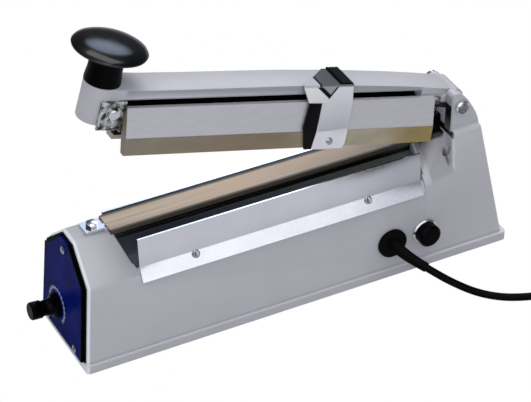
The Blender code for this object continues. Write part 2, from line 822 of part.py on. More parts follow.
def make_timer(root, surface):
    """Timer knob on its shaft, and the control behind the front wall."""
    place = panel_frame(TIMER_Y, TIMER_Z, surface + RUNNING_GAP)
    reach = TIMER_REACH
    neck_top = reach - CAP_LENGTH
    bore = SHAFT_RADIUS + TOUCH_GAP
    bore_top = reach * 0.75
    turned("timer_knob", (
        (0, reach), (CAP_RADIUS * 0.88, reach), (CAP_RADIUS, reach - CAP_LENGTH * 0.12),
        (CAP_RADIUS, neck_top), (NECK_RADIUS, neck_top - CAP_LENGTH * 0.15),
        (NECK_RADIUS * 1.15, SKIRT_HEIGHT * 1.2), (SKIRT_RADIUS * 0.93, SKIRT_HEIGHT),
        (SKIRT_RADIUS, SKIRT_HEIGHT * 0.7), (SKIRT_RADIUS, 0), (bore, 0), (bore, bore_top),
        (0, bore_top),
    ), "black_plastic", root, place)
    inner = place @ at(0, 0, -surface - RUNNING_GAP - WALL * 1.05)
    tip = surface + RUNNING_GAP + WALL * 1.05 + bore_top - TOUCH_GAP
    turned("timer_control", (
        (0, tip), (SHAFT_RADIUS, tip), (SHAFT_RADIUS, -TOUCH_GAP), (POT_RADIUS, -TOUCH_GAP),
        (POT_RADIUS, -POT_DEPTH), (0, -POT_DEPTH),
    ), "zinc_steel", root, inner, steps=24)


def base_corner(x, z):
    return side_half(x, z) - WALL - BASE_INSET


def make_underside(root):
    low = FOOT_DROP + BASE_RISE
    high = low + BASE_SHEET
    front = front_x(low) + WALL + BASE_INSET
    rear = rear_x(high) - WALL - BASE_INSET
    outline = [(front, -base_corner(front, high)), (rear, -base_corner(rear, high))]
    outline += [(x, -y) for x, y in reversed(outline)]
    base = part("base_plate", flat(outline, low, high), "zinc_steel", root)
    stud = SHANK_RADIUS
    number = 0
    for x in (FOOT_INSET_X, BODY_LENGTH - FOOT_INSET_X):
        for y in (FOOT_INSET_Y - BASE_WIDTH / 2, BASE_WIDTH / 2 - FOOT_INSET_Y):
            number += 1
            place = at(x, y, low - TOUCH_GAP)
            turned(f"foot_{number}", (
                (0, BASE_SHEET), (stud, BASE_SHEET), (stud, 0), (FOOT_RADIUS, 0),
                (FOOT_RADIUS * 0.86, TOUCH_GAP - low), (0, TOUCH_GAP - low),
            ), "black_rubber", root, place, steps=20)
            drill(base, root, at(x, y, high), stud + HOLE_GAP, BASE_SHEET * 2)
    return high


def make_electrics(root, floor_z):
    """Transformer, board and switch, on the base plate and under the ridge."""
    length, width, height = CORE
    low = floor_z + TOUCH_GAP
    x = TRANSFORMER_X
    core = part("transformer_core", block(
        (x - length / 2, -width / 2, low), (x + length / 2, width / 2, low + height)
    ), "zinc_steel", root)
    window = length / 2 - CORE_YOKE - CORE_LEG / 2
    for side in (-1, 1):
        middle = x + side * (CORE_LEG / 2 + window / 2)
        combine(core, cutter(block(
            (middle - window / 2, -width, low + CORE_YOKE),
            (middle + window / 2, width, low + height - CORE_YOKE),
        ), root))
    play = WINDING_PLAY
    half = CORE_LEG / 2 + window - play
    winding = part("transformer_winding", block(
        (x - half, -width / 2 - WINDING_OVERHANG, low + CORE_YOKE + TOUCH_GAP),
        (x + half, width / 2 + WINDING_OVERHANG, low + height - CORE_YOKE - play),
    ), "copper", root)
    combine(winding, cutter(block(
        (x - CORE_LEG / 2 - TOUCH_GAP, -width / 2 - TOUCH_GAP, low),
        (x + CORE_LEG / 2 + TOUCH_GAP, width / 2 + TOUCH_GAP, low + height),
    ), root))
    thickness, span, rise = BOARD
    part("timer_board", block(
        (BOARD_X, -span / 2, low), (BOARD_X + thickness, span / 2, low + rise)
    ), "board", root)
    make_switch(root)


def make_switch(root):
    """Micro switch under the ridge, and the push rod that the arm's tail presses."""
    length, width, height = SWITCH
    x = HINGE_X - PLUNGER_U
    top = RIDGE_Z - WALL - TOUCH_GAP
    switch = part("micro_switch", block(
        (x - length / 2, PLUNGER_Y - width / 2, top - height),
        (x + length / 2, PLUNGER_Y + width / 2, top),
    ), "black_plastic", root)
    stroke = PLUNGER_SINK
    drill(switch, root, at(x, PLUNGER_Y, top), PLUNGER_RADIUS + RUNNING_GAP, stroke + TOUCH_GAP)
    rod_top = tail_underside(PLUNGER_U) - TOUCH_GAP
    rod_foot = top - stroke + PLUNGER_DROP
    turned("switch_plunger", (
        (0, rod_top), (PLUNGER_RADIUS * 0.5, rod_top - TOUCH_GAP),
        (PLUNGER_RADIUS, rod_top - PLUNGER_RADIUS), (PLUNGER_RADIUS, rod_foot), (0, rod_foot),
    ), "white_plastic", root, at(x, PLUNGER_Y, 0), steps=16)


def tail_underside(u, angle=ARM_OPEN_ANGLE):
    """Bench height of the tail's underside over a point, with the arm at an angle."""
    (rear_u, rear_w), (front_u, front_w) = TAIL_OUTLINE[:2]
    slope = angle + math.atan2(front_w - rear_w, front_u - rear_u)
    foot_x = rear_u * math.cos(angle) - rear_w * math.sin(angle)
    foot_z = rear_u * math.sin(angle) + rear_w * math.cos(angle)
    return HINGE_Z + foot_z + (u - foot_x) * math.tan(slope)


PLUNGER_DROP = tail_underside(PLUNGER_U) - tail_underside(PLUNGER_U, 0)


def make_spring_box(root):
    """Housing on the ridge that guides the return spring and the push rod."""
    length, width, height = SPRING_BOX
    x = SPRING_BOX_X
    low = RIDGE_Z + TOUCH_GAP
    box = part("spring_box", block(
        (x - length / 2, -width / 2, low), (x + length / 2, width / 2, low + height)
    ), "black_plastic", root)
    round_edges(box, CASING_ROUND / 3)
    top = low + height
    spring_at = at(HINGE_X - SPRING_U, SPRING_Y, top)
    drill(box, root, spring_at, SPRING_RADIUS + WIRE_RADIUS + RUNNING_GAP, height * 2)
    rod_at = at(HINGE_X - PLUNGER_U, PLUNGER_Y, top)
    drill(box, root, rod_at, PLUNGER_RADIUS + RUNNING_GAP, height * 2)


# Jaw and cover plates

def strip_top():
    return RIDGE_Z + ELEMENT_THICKNESS + STRIP_THICKNESS + TOUCH_GAP * 2


def make_jaw(root):
    half = JAW_WIDTH / 2
    start = JAW_START_X + TOUCH_GAP
    end = JAW_END_X - TOUCH_GAP
    part("jaw_base", block(
        (start, -half, RIB_TOP_Z + TOUCH_GAP), (end, half, RIDGE_Z)
    ), "zinc_steel", root)
    low = RIDGE_Z + TOUCH_GAP
    element = part("heating_element", block(
        (FRONT_CLAMP_X - CLAMP_OVERLAP, -ELEMENT_WIDTH / 2, low),
        (REAR_CLAMP_X + CLAMP_OVERLAP, ELEMENT_WIDTH / 2, low + ELEMENT_THICKNESS),
    ), "polished_steel", root)
    cover = low + ELEMENT_THICKNESS + TOUCH_GAP
    outer = half + TOUCH_GAP + STRIP_THICKNESS
    inner = half + TOUCH_GAP
    hem = RIDGE_Z - STRIP_HEM
    outline = (
        (-outer, hem), (-inner, hem), (-inner, cover), (inner, cover), (inner, hem), (outer, hem),
        (outer, cover + STRIP_THICKNESS), (-outer, cover + STRIP_THICKNESS),
    )
    part("ptfe_strip", loft([
        [(x, y, z) for y, z in outline] for x in (start, end)
    ]), "tan_tape", root)
    for name, x, length in (
        ("front_clamp", FRONT_CLAMP_X, FRONT_CLAMP_LENGTH),
        ("rear_clamp", REAR_CLAMP_X, REAR_CLAMP_LENGTH),
    ):
        clamp = part(name, block(
            (x - length / 2, -CLAMP_WIDTH / 2, low),
            (x + length / 2, CLAMP_WIDTH / 2, low + CLAMP_HEIGHT),
        ), "polished_steel", root)
        combine(clamp, cutter(block(
            (x - length, -ELEMENT_WIDTH / 2 - TOUCH_GAP, low - OVERRUN),
            (x + length, ELEMENT_WIDTH / 2 + TOUCH_GAP, cover),
        ), root))
        top = at(x, 0, low + CLAMP_HEIGHT)
        drill(clamp, root, top, SHANK_RADIUS + HOLE_GAP, OVERRUN)
        drill(element, root, top, SHANK_RADIUS * 0.5, OVERRUN)
        turned(name + "_nut", (
            (0, CLAMP_NUT_HEIGHT), (CLAMP_NUT_RADIUS * 0.6, CLAMP_NUT_HEIGHT),
            (CLAMP_NUT_RADIUS, CLAMP_NUT_HEIGHT * 0.8), (CLAMP_NUT_RADIUS, TOUCH_GAP),
            (0, TOUCH_GAP),
        ), "polished_steel", root, top, steps=6)


def cover_outline(top_z):
    """Section of a cover plate whose upper leaf ends at a height."""
    (full_y, full_z), (fold_y, fold_z), (foot_y, foot_z) = COVER_LINE
    top_y = fold_y + (full_y - fold_y) * (top_z - fold_z) / (full_z - fold_z)
    flange = COVER_SHEET / math.cos(flange_lean())
    return (
        (top_y, top_z), (fold_y, fold_z), (foot_y, foot_z), (foot_y + flange, foot_z),
        (fold_y + (flange + COVER_SHEET) / 2, fold_z), (top_y + COVER_SHEET, top_z),
    )


def make_covers(root):
    """Bent sheet on each side of the jaw, screwed to the casing's shoulders."""
    for side, word, top_z in ((-1, "near", COVER_LINE[0][1]), (1, "far", COVER_FAR_TOP_Z)):
        plate = part(f"cover_{word}", loft([
            [(x, -side * y, z) for y, z in cover_outline(top_z)]
            for x in (COVER_START_X, COVER_END_X)
        ]), "polished_steel", root)
        for number, x in enumerate(COVER_SCREW_XS, 1):
            place = flange_frame(x, side)
            screw_hole(plate, root, place)
            slotted_screw(f"cover_{word}_screw_{number}", root, place)


# Arm and what it carries

def arm_x(u):
    return -u


def arm_half(u):
    share = u / ARM_TOP_LINE[-1][0]
    return (ARM_REAR_WIDTH * (1 - share) + ARM_FRONT_WIDTH * share) / 2


def arm_top(u):
    """Height of the arm's top above the hinge at a reach."""
    for (near_u, near_w), (far_u, far_w) in zip(ARM_TOP_LINE, ARM_TOP_LINE[1:]):
        if u <= far_u:
            return near_w + (far_w - near_w) * (u - near_u) / (far_u - near_u)
    return ARM_TOP_LINE[-1][1]


def arm_side(u):
    share = u / ARM_TOP_LINE[-1][0]
    return ARM_SIDE_REAR_W * (1 - share) + ARM_SIDE_FRONT_W * share


def arm_section(u, half, low, high):
    x = arm_x(u)
    return [(x, -half, low), (x, half, low), (x, half, high), (x, -half, high)]


def stations(start, end):
    """Reaches of the arm's top line between two ends, with the ends."""
    return [start, *[u for u, _ in ARM_TOP_LINE if start < u < end], end]


def side_outline(outline, low_y, high_y):
    """Side view in reach and height, extruded across the arm."""
    return flat([(arm_x(u), w) for u, w in outline], -high_y, -low_y)


def make_arm(axis):
    arm = part("arm", loft([
        arm_section(u, arm_half(u), arm_side(u), w) for u, w in ARM_TOP_LINE
    ]), "grey_paint", axis)
    round_edges(arm, ARM_ROUND, angle=math.radians(50))
    nose_half = NOSE_RADIUS
    tail_half = ARM_REAR_WIDTH / 2
    nose = rod(NOSE_RADIUS, NOSE_BOTTOM_W, NOSE_TOP_W, 48)
    nose = cutter(nose, axis, at(arm_x(KNOB_U), 0, 0))
    round_edges(nose, ARM_ROUND, angle=math.radians(50))
    combine(arm, nose, "UNION")
    lug_front = KNOB_U - NOSE_RADIUS * 0.15
    lug_rear = KNOB_U - NOSE_RADIUS + LUG_REAR_U
    lug = block(
        (arm_x(lug_front), -nose_half, LUG_BOTTOM_W),
        (arm_x(lug_rear), nose_half - ARM_ROUND, ARM_SIDE_FRONT_W + ARM_ROUND),
    )
    combine(arm, cutter(lug, axis), "UNION")
    tail = cutter(side_outline(TAIL_OUTLINE, -tail_half, tail_half), axis, SIDE_VIEW)
    combine(arm, tail, "UNION")
    across = facing((0, 0, 0), (0, -1, 0))
    knuckle = rod(KNUCKLE_RADIUS, -tail_half - ARM_CHEEK, tail_half + ARM_CHEEK, 32)
    combine(arm, cutter(knuckle, axis, across), "UNION")
    rear = TAIL_OUTLINE[3][0]
    front = lug_rear
    channel = loft([
        arm_section(u, arm_half(u) - ARM_SKIN, -OVERRUN, arm_top(u) - ARM_SKIN)
        for u in stations(rear, front)
    ])
    combine(arm, cutter(channel, axis))
    drill(arm, axis, across, PIN_RADIUS + RUNNING_GAP, OVERRUN * 3, OVERRUN * 3)
    drill(arm, axis, at(arm_x(KNOB_U), 0, NOSE_TOP_W), STUD_RADIUS + TOUCH_GAP,
          STUD_IN_ARM + TOUCH_GAP)
    for reach, height, half in ((*FRONT_BOLT, nose_half), (*REAR_BOLT, tail_half)):
        place = facing((arm_x(reach), -half, height), (0, -1, 0))
        drill(arm, axis, place, SHANK_RADIUS + HOLE_GAP, SHANK_LENGTH + TOUCH_GAP)


def make_press(axis):
    """Press bar up in the arm's channel, and the silicone strip under it."""
    strip_w = strip_top() + CLOSED_GAP - HINGE_Z
    bar_w = strip_w + SILICONE_HEIGHT
    roof = ARM_SKIN + TOUCH_GAP
    half = PRESS_WIDTH / 2
    ends = stations(PRESS_REAR_U, PRESS_FRONT_U)
    part("press_bar", loft([
        arm_section(u, half, bar_w + TOUCH_GAP, arm_top(u) - roof) for u in ends
    ]), "black_plastic", axis)
    part("silicone_strip", block(
        (arm_x(PRESS_FRONT_U), -SILICONE_WIDTH / 2, strip_w),
        (arm_x(PRESS_REAR_U), SILICONE_WIDTH / 2, bar_w),
    ), "silicone", axis)


def rail_y(w, offset=0):
    """Y of the rail's near face at a height, moved outward by an offset."""
    (top_y, top_w), (fold_y, fold_w), (foot_y, foot_w) = RAIL_LINE
    if w >= fold_w:
        return top_y + (fold_y - top_y) * (w - top_w) / (fold_w - top_w) - offset
    return fold_y + (foot_y - fold_y) * (w - fold_w) / (foot_w - fold_w) - offset


def rail_outline():
    """Bent sheet: lip towards the arm, leaning face, lower face nearer upright."""
    (top_y, top_w), (fold_y, fold_w), (foot_y, foot_w) = RAIL_LINE
    wall = RAIL_WALL
    back = top_y + RAIL_LIP
    return (
        (back, top_w), (top_y, top_w), (fold_y, fold_w), (foot_y, foot_w),
        (foot_y + wall, foot_w), (fold_y + wall, fold_w),
        (rail_y(top_w - wall, -wall), top_w - wall), (back, top_w - wall),
    )


def rail_end_outline(offset=0.0):
    """End plate that closes the rail's front, its near edge on the face."""
    (top_y, top_w), (fold_y, fold_w), (foot_y, foot_w) = RAIL_LINE
    deep = RAIL_END_DEPTH
    return (
        (top_y - offset, top_w), (fold_y - offset, fold_w), (foot_y - offset, foot_w),
        (foot_y + deep * 0.8, foot_w), (fold_y + deep * 1.3, fold_w),
        (top_y + RAIL_LIP, top_w),
    )


def between(outline, low_u, high_u):
    """Solid of an outline in Y and height between two reaches."""
    return loft([[(arm_x(u), y, w) for y, w in outline] for u in (low_u, high_u)])


def make_rail(axis):
    rail = part("guide_rail", between(
        rail_outline(), RAIL_REAR_U, RAIL_FRONT_U
    ), "polished_steel", axis)
    end = between(rail_end_outline(), RAIL_FRONT_U - RAIL_WALL, RAIL_FRONT_U)
    combine(rail, cutter(end, axis), "UNION")
    top = RAIL_LINE[1][1] - TAPE_TOP_INSET
    foot = RAIL_LINE[2][1]
    thickness = TAPE_THICKNESS
    inner = TOUCH_GAP
    outer = TOUCH_GAP + thickness
    front = RAIL_FRONT_U + outer
    skin = (
        (rail_y(top, inner), top), (rail_y(foot, inner), foot), (rail_y(foot, outer), foot),
        (rail_y(top, outer), top),
    )
    tape = part("rail_tape", between(skin, RAIL_REAR_U, front), "tan_tape", axis)
    wrap = between(rail_end_outline(outer), front - thickness, front)
    combine(tape, cutter(wrap, axis), "UNION")


def make_brackets(axis):
    """Sheet brackets that join the bar and the rail to the arm's nose and tail."""
    sheet = BRACKET_SHEET
    top = RAIL_LINE[0][1] - RAIL_WALL - TOUCH_GAP
    fold = RAIL_LINE[1][1]
    bar_half = PRESS_WIDTH / 2
    inside = -RAIL_WALL - TOUCH_GAP
    overlap = RAIL_LINE[0][0] + RAIL_LIP - BRACKET_OVERLAP
    rear_side = ((rail_y(top, inside), top), (rail_y(fold, inside), fold))
    front_side = ((overlap, top), (overlap, fold))
    past_tape = RAIL_FRONT_U + TOUCH_GAP * 2 + TAPE_THICKNESS
    rear_end, rear_w = REAR_BOLT
    rear_ear = (rear_end - BOLT_REACH, rear_w - BOLT_REACH, top - sheet / 4)
    rear_start = PRESS_REAR_U - TOUCH_GAP
    ends = (
        ("front", front_side, past_tape, 1, NOSE_RADIUS, FRONT_BOLT, FRONT_EAR),
        ("rear", rear_side, rear_start, -1, ARM_REAR_WIDTH / 2, REAR_BOLT, rear_ear),
    )
    for word, side, reach, forward, half, bolt, (ear_end, ear_low, ear_high) in ends:
        face_y = -half - TOUCH_GAP
        far = reach + forward * sheet
        bracket = part(f"{word}_bracket", between(
            (*side, (bar_half, fold), (bar_half, top)), *sorted((reach, far))
        ), "polished_steel", axis)
        low_x, high_x = sorted((arm_x(reach), arm_x(ear_end)))
        ear = block((low_x, face_y - sheet, ear_low), (high_x, face_y, ear_high))
        combine(bracket, cutter(ear, axis), "UNION")
        place = facing((arm_x(bolt[0]), face_y - sheet, bolt[1]), (0, -1, 0))
        screw_hole(bracket, axis, place)
        if forward > 0:
            hex_bolt(f"{word}_bolt", axis, place, FRONT_BOLT_RADIUS, FRONT_BOLT_HEIGHT)
        else:
            slotted_screw(f"{word}_bolt", axis, place, turn=math.radians(40))


def make_knob(axis):
    """Palm knob and the stud that holds it to the nose."""
    seat = NOSE_TOP_W + TOUCH_GAP
    stem = KNOB_STEM_HEIGHT
    cap = KNOB_CAP_HEIGHT
    radius = KNOB_CAP_RADIUS
    bore = STUD_RADIUS + TOUCH_GAP
    place = at(arm_x(KNOB_U), 0, seat)
    turned("arm_knob", (
        (0, stem + cap), (radius * 0.35, stem + cap * 0.96), (radius * 0.65, stem + cap * 0.86),
        (radius * 0.85, stem + cap * 0.71), (radius * 0.96, stem + cap * 0.56),
        (radius, stem + cap * 0.42), (radius * 0.985, stem + cap * 0.31),
        (radius * 0.92, stem + cap * 0.24), (radius * 0.62, stem + cap * 0.12),
        (KNOB_STEM_RADIUS, stem - cap * 0.08), (KNOB_STEM_RADIUS, stem * 0.45),
        (KNOB_FOOT_RADIUS, stem * 0.10), (KNOB_FOOT_RADIUS, 0), (bore, 0),
        (bore, STUD_IN_KNOB + TOUCH_GAP), (0, STUD_IN_KNOB + TOUCH_GAP),
    ), "black_plastic", axis, place, steps=48)
    turned("knob_stud", (
        (0, STUD_IN_KNOB), (STUD_RADIUS, STUD_IN_KNOB), (STUD_RADIUS, -STUD_IN_ARM),
        (0, -STUD_IN_ARM),
    ), "zinc_steel", axis, place, steps=16)


# Cutter carriage

def carriage_section(reach, far_y, stand):
    """Sheet over the arm's top and down its side, standing off the rail."""
    sheet = CARRIAGE_SHEET
    near = CARRIAGE_NEAR_Y
    under = CARRIAGE_UNDER_W
    fold_w = RAIL_LINE[1][1]
    knee_w = RAIL_LINE[0][1]
    foot_w = CARRIAGE_BOTTOM_W - sheet
    clear = RUNNING_GAP + TOUCH_GAP + TAPE_THICKNESS + stand
    inner = ((rail_y(knee_w, clear), knee_w), (rail_y(fold_w, clear), fold_w),
             (rail_y(foot_w, clear), foot_w))
    outer = [(y - sheet, w) for y, w in inner]
    outline = [(far_y, under), (near, under), *inner, *reversed(outer),
               (near - sheet, under + sheet), (far_y, under + sheet)]
    return [(-reach, y, w) for y, w in outline]


def rail_normal(upper):
    """Outward direction of the rail's upper or lower face."""
    (high_y, high_w), (low_y, low_w) = RAIL_LINE[:2] if upper else RAIL_LINE[1:]
    return (0, low_w - high_w, high_y - low_y)


def make_carriage(axis):
    """Bent sheet that rides the rail and laps the arm's top, with its blade."""
    home = empty("carriage_home", axis, at(arm_x(CARRIAGE_U), 0, 0))
    sheet = CARRIAGE_SHEET
    start, end = STRAP
    far = STRAP_FAR_Y
    stand = PLATE_STAND
    carriage = part("cutter_carriage", loft([
        carriage_section(start - sheet, far, stand),
        carriage_section(end, far, stand),
        carriage_section(CREASE_U, (far + WING_FAR_Y) / 2, stand),
        carriage_section(WING_END_U, WING_FAR_Y, 0),
    ]), "polished_steel", home)
    top = CARRIAGE_UNDER_W + sheet
    shape = flat([(-u, w) for u, w in SIDE_SHAPE], -ARM_FRONT_WIDTH, ARM_FRONT_WIDTH * 2)
    combine(carriage, cutter(shape, home, SIDE_VIEW), "INTERSECT")
    make_shoe(home)
    make_grip(home, top + TOUCH_GAP, -CARRIAGE_NEAR_Y + sheet, far)
    make_blade(home, carriage)


def make_shoe(home):
    """Slip liner between the rail's face and the carriage's plate."""
    clear = RUNNING_GAP + TOUCH_GAP
    low, high = SHOE_BOTTOM_W, SHOE_TOP_W
    thick = clear + SHOE_THICKNESS
    outline = (
        (rail_y(high, clear), high), (rail_y(high, thick), high), (rail_y(low, thick), low),
        (rail_y(low, clear), low),
    )
    part("cutter_shoe", between(outline, *SHOE), "white_plastic", home)


def make_blade(home, carriage):
    """Blade behind the foot of the carriage's plate, and its screw."""
    clear = RUNNING_GAP + TOUCH_GAP + TAPE_THICKNESS + PLATE_STAND - TOUCH_GAP
    low, high = BLADE_TIP_W, BLADE_TOP_W
    thin = clear - BLADE_THICKNESS
    outline = (
        (rail_y(high, thin), high), (rail_y(high, clear), high), (rail_y(low, clear), low),
        (rail_y(low, thin), low),
    )
    blade = part("cutter_blade", between(outline, *BLADE), "zinc_steel", home)
    outside = clear + TOUCH_GAP + CARRIAGE_SHEET
    screw_at = facing(
        (-BLADE_SCREW_U, rail_y(BLADE_SCREW_W, outside), BLADE_SCREW_W), rail_normal(False)
    )
    for target in (carriage, blade):
        drill(target, home, screw_at, SHANK_RADIUS + HOLE_GAP, OVERRUN)
    shank = CARRIAGE_SHEET + TOUCH_GAP + BLADE_THICKNESS
    turned("blade_screw", (
        (0, SCREW_HEIGHT * 0.7), (BLADE_SCREW_RADIUS * 0.8, SCREW_HEIGHT * 0.7),
        (BLADE_SCREW_RADIUS, SCREW_HEIGHT * 0.4), (BLADE_SCREW_RADIUS, TOUCH_GAP),
        (SHANK_RADIUS, TOUCH_GAP), (SHANK_RADIUS, -shank), (0, -shank),
    ), "zinc_steel", home, screw_at, steps=16)


def make_grip(home, low, near, far):
    """Low ridged pad on the carriage's strap."""
    back, front = GRIP
    count = GRIP_RIDGES * 4
    outline = []
    for k in range(count + 1):
        height = GRIP_HEIGHT * (1.0 if k % 4 in (1, 2) else 0.6)
        outline.append((-front + (front - back) * k / count, low + height))
    outline = [(-front, low), *outline, (-back, low)]
    part("carriage_grip", flat(outline, -far, near), "black_plastic", home, SIDE_VIEW)


# Hinge pin, spring, cord entry, fuse and cord

def make_hinge(root):
    near = -NEAR_EAR[0]
    far = -FAR_EAR[1]
    pin = PIN_RADIUS
    head = HINGE_NUT_RADIUS
    place = hinge_frame()
    turned("hinge_pin", (
        (0, near + HINGE_NUT_HEIGHT), (pin, near + HINGE_NUT_HEIGHT), (pin, far - TOUCH_GAP),
        (head, far - TOUCH_GAP), (head, far - HINGE_HEAD_HEIGHT), (0, far - HINGE_HEAD_HEIGHT),
    ), "zinc_steel", root, place, steps=24)
    turned("hinge_nut", (
        (pin + HOLE_GAP, near + HINGE_NUT_HEIGHT * 0.9), (head * 0.8, near + HINGE_NUT_HEIGHT * 0.9),
        (head, near + HINGE_NUT_HEIGHT * 0.65), (head, near + TOUCH_GAP),
        (pin + HOLE_GAP, near + TOUCH_GAP),
    ), "polished_steel", root, place, steps=12, closed=True)


def make_spring(root):
    """Return spring standing on the ridge under the arm's tail."""
    foot = RIDGE_Z + TOUCH_GAP + WIRE_RADIUS
    lean = math.atan2(TAIL_OUTLINE[1][1] - TAIL_OUTLINE[0][1], TAIL_OUTLINE[1][0] - TAIL_OUTLINE[0][0])
    tilt = math.tan(ARM_OPEN_ANGLE + lean)
    crest = tail_underside(SPRING_U) - TOUCH_GAP * 2 - WIRE_RADIUS - tilt * SPRING_RADIUS
    points = []
    total = SPRING_CURLS * POINTS_PER_CURL
    for k in range(total + 1):
        turn = 2 * math.pi * k / POINTS_PER_CURL
        share = min(max((k - POINTS_PER_CURL) / (total - 2 * POINTS_PER_CURL), 0), 1)
        settle = min(k, POINTS_PER_CURL) + max(k - total + POINTS_PER_CURL, 0)
        rise = settle / POINTS_PER_CURL * (WIRE_RADIUS * 2 + TOUCH_GAP * 2)
        height = foot + rise + share * (crest - foot - 4 * WIRE_RADIUS - 4 * TOUCH_GAP)
        points.append((SPRING_RADIUS * math.cos(turn), SPRING_RADIUS * math.sin(turn), height))
    tube("return_spring", points, WIRE_RADIUS, "zinc_steel", root, 1,
         at(HINGE_X - SPRING_U, SPRING_Y, 0))


def relief_points(cord):
    """Start of the cord's path and the sleeve's radius at each point."""
    start = 3
    sleeve = cord[start:start + RELIEF_POINTS]
    last = len(sleeve) - 1
    spread = RELIEF_RADIUS - RELIEF_END_RADIUS
    return sleeve, [RELIEF_RADIUS - spread * k / last for k in range(len(sleeve))]


def make_entry(root, gland_at, cord):
    """Cord gland with its strain relief, and the fuse holder beside it."""
    gland = turned("cord_gland", (
        (0, GLAND_HEIGHT), (GLAND_RADIUS * 0.88, GLAND_HEIGHT), (GLAND_RADIUS, GLAND_HEIGHT * 0.7),
        (GLAND_RADIUS, TOUCH_GAP), (GLAND_NECK_RADIUS, TOUCH_GAP), (GLAND_NECK_RADIUS, -WALL * 1.5),
        (0, -WALL * 1.5),
    ), "black_rubber", root, gland_at)
    sleeve, radii = relief_points(cord)
    combine(gland, cutter(tube_mesh(sleeve, radii, 4), root), "UNION")
    bore = [CORD_RADIUS + TOUCH_GAP] * len(cord)
    combine(gland, cutter(tube_mesh(cord, bore, 2), root))
    fuse_at = wall_frame(FUSE_X, FUSE_Z)
    inside = BARREL_RADIUS - BARREL_WALL
    turned("fuse_holder", (
        (0, -BARREL_LENGTH + BARREL_WALL), (inside, -BARREL_LENGTH + BARREL_WALL),
        (inside, TOUCH_GAP), (BARREL_RADIUS, BEZEL_HEIGHT), (BEZEL_RADIUS * 0.9, BEZEL_HEIGHT),
        (BEZEL_RADIUS, BEZEL_HEIGHT * 0.7), (BEZEL_RADIUS, TOUCH_GAP),
        (BARREL_RADIUS, TOUCH_GAP), (BARREL_RADIUS, -BARREL_LENGTH), (0, -BARREL_LENGTH),
    ), "polished_steel", root, fuse_at, steps=28)
    plug_radius = inside - RUNNING_GAP
    turned("fuse_cap", (
        (0, BEZEL_HEIGHT + FUSE_CAP_HEIGHT), (FUSE_CAP_RADIUS * 0.86, BEZEL_HEIGHT + FUSE_CAP_HEIGHT),
        (FUSE_CAP_RADIUS, BEZEL_HEIGHT + FUSE_CAP_HEIGHT * 0.85),
        (FUSE_CAP_RADIUS, BEZEL_HEIGHT + RUNNING_GAP), (plug_radius, BEZEL_HEIGHT + RUNNING_GAP),
        (plug_radius, BEZEL_HEIGHT - OVERRUN * 0.4), (0, BEZEL_HEIGHT - OVERRUN * 0.4),
    ), "black_plastic", root, fuse_at, steps=28)
    foot = -BARREL_LENGTH + BARREL_WALL + TOUCH_GAP
    turned("fuse_link", (
        (0, foot + LINK_LENGTH), (LINK_RADIUS, foot + LINK_LENGTH), (LINK_RADIUS, foot), (0, foot),
    ), "clear_glass", root, fuse_at, steps=16)


def coil_points():
    """Loops laid in two layers, in and out at a steady rate, with a straight end."""
    pitch = CORD_RADIUS * 2 + COIL_GAP
    low = CORD_RADIUS + TOUCH_GAP
    half_count = int(LAYER_TURNS * LOOP_POINTS)
    outer = COIL_RADIUS + pitch * LAYER_TURNS / 2
    points = []
    for k in range(2 * half_count + 1):
        turns = k / LOOP_POINTS
        inward = min(turns, 2 * LAYER_TURNS - turns)
        radius = outer - pitch * inward
        climb = min(max((turns - LAYER_TURNS + 0.25) / 0.5, 0), 1)
        angle = COIL_START_ANGLE - 2 * math.pi * turns
        points.append(Vector((
            COIL_X + radius * math.cos(angle), COIL_Y + radius * math.sin(angle),
            low + pitch * climb,
        )))
    return points


def tangent_at(points, start):
    """Unit direction of a path at its start or its end."""
    if start:
        return (points[0] - points[1]).normalized()
    return (points[-1] - points[-2]).normalized()


def cord_points(gland_at, loops):
    """Free cord: from inside the casing, out through the gland, down to the coil."""
    out = gland_at.to_3x3() @ Vector((0, 0, 1))
    wall = gland_at.translation
    route = [wall - out * WALL * 3, wall, wall + out * GLAND_HEIGHT * RELIEF_START]
    route += [Vector(point) for point in CORD_ROUTE]
    meet = tangent_at(loops, True)
    route += [loops[0] + meet * CORD_RADIUS * 4, loops[0] + meet * TOUCH_GAP * 2]
    return smooth_through(route, ROUTE_SHARES)


def least_gap(points, radius, skip):
    """Smallest air gap between parts of one path that lie apart along it."""
    least = BODY_LENGTH
    for i, first in enumerate(points):
        for second in points[i + skip:]:
            least = min(least, (first - second).length - 2 * radius)
    return least


def make_cord(root, loops, cord):
    leave = tangent_at(loops, False)
    step = CORD_RADIUS * 2
    tail = [loops[-1] + leave * step * k for k in (1, 2)]
    coil = loops + tail
    tube("cord_coil", coil, CORD_RADIUS, "black_plastic", root, 1)
    tube("power_cord", cord, CORD_RADIUS, "black_plastic", root, 2)
    print("coil gap to itself mm", 1000 * least_gap(coil, CORD_RADIUS, LOOP_POINTS // 2))
    length = sum((b - a).length for a, b in zip(coil, coil[1:]))
    length += sum((b - a).length for a, b in zip(cord, cord[1:]))
    print("cord length m", length)
    make_tie(root)
    make_plug(root, coil[-1], leave)


def make_tie(root):
    """Band round the loops."""
    pitch = CORD_RADIUS * 2 + COIL_GAP
    outer = COIL_RADIUS + pitch * LAYER_TURNS / 2 + CORD_RADIUS + COIL_GAP
    inner = COIL_RADIUS - pitch * LAYER_TURNS / 2 - CORD_RADIUS - COIL_GAP
    high = CORD_RADIUS * 2 + pitch + COIL_GAP
    sheet = TIE_SHEET
    half = TIE_WIDTH / 2
    angle = TIE_ANGLE
    place = at(COIL_X, COIL_Y, 0) @ Matrix.Rotation(angle, 4, "Z")
    tie = part("coil_tie", block(
        (inner - sheet, -half, 0), (outer + sheet, half, high + sheet)
    ), "black_rubber", root, place)
    combine(tie, cutter(block(
        (inner, -half * 2, -OVERRUN), (outer, half * 2, high)
    ), root, place))


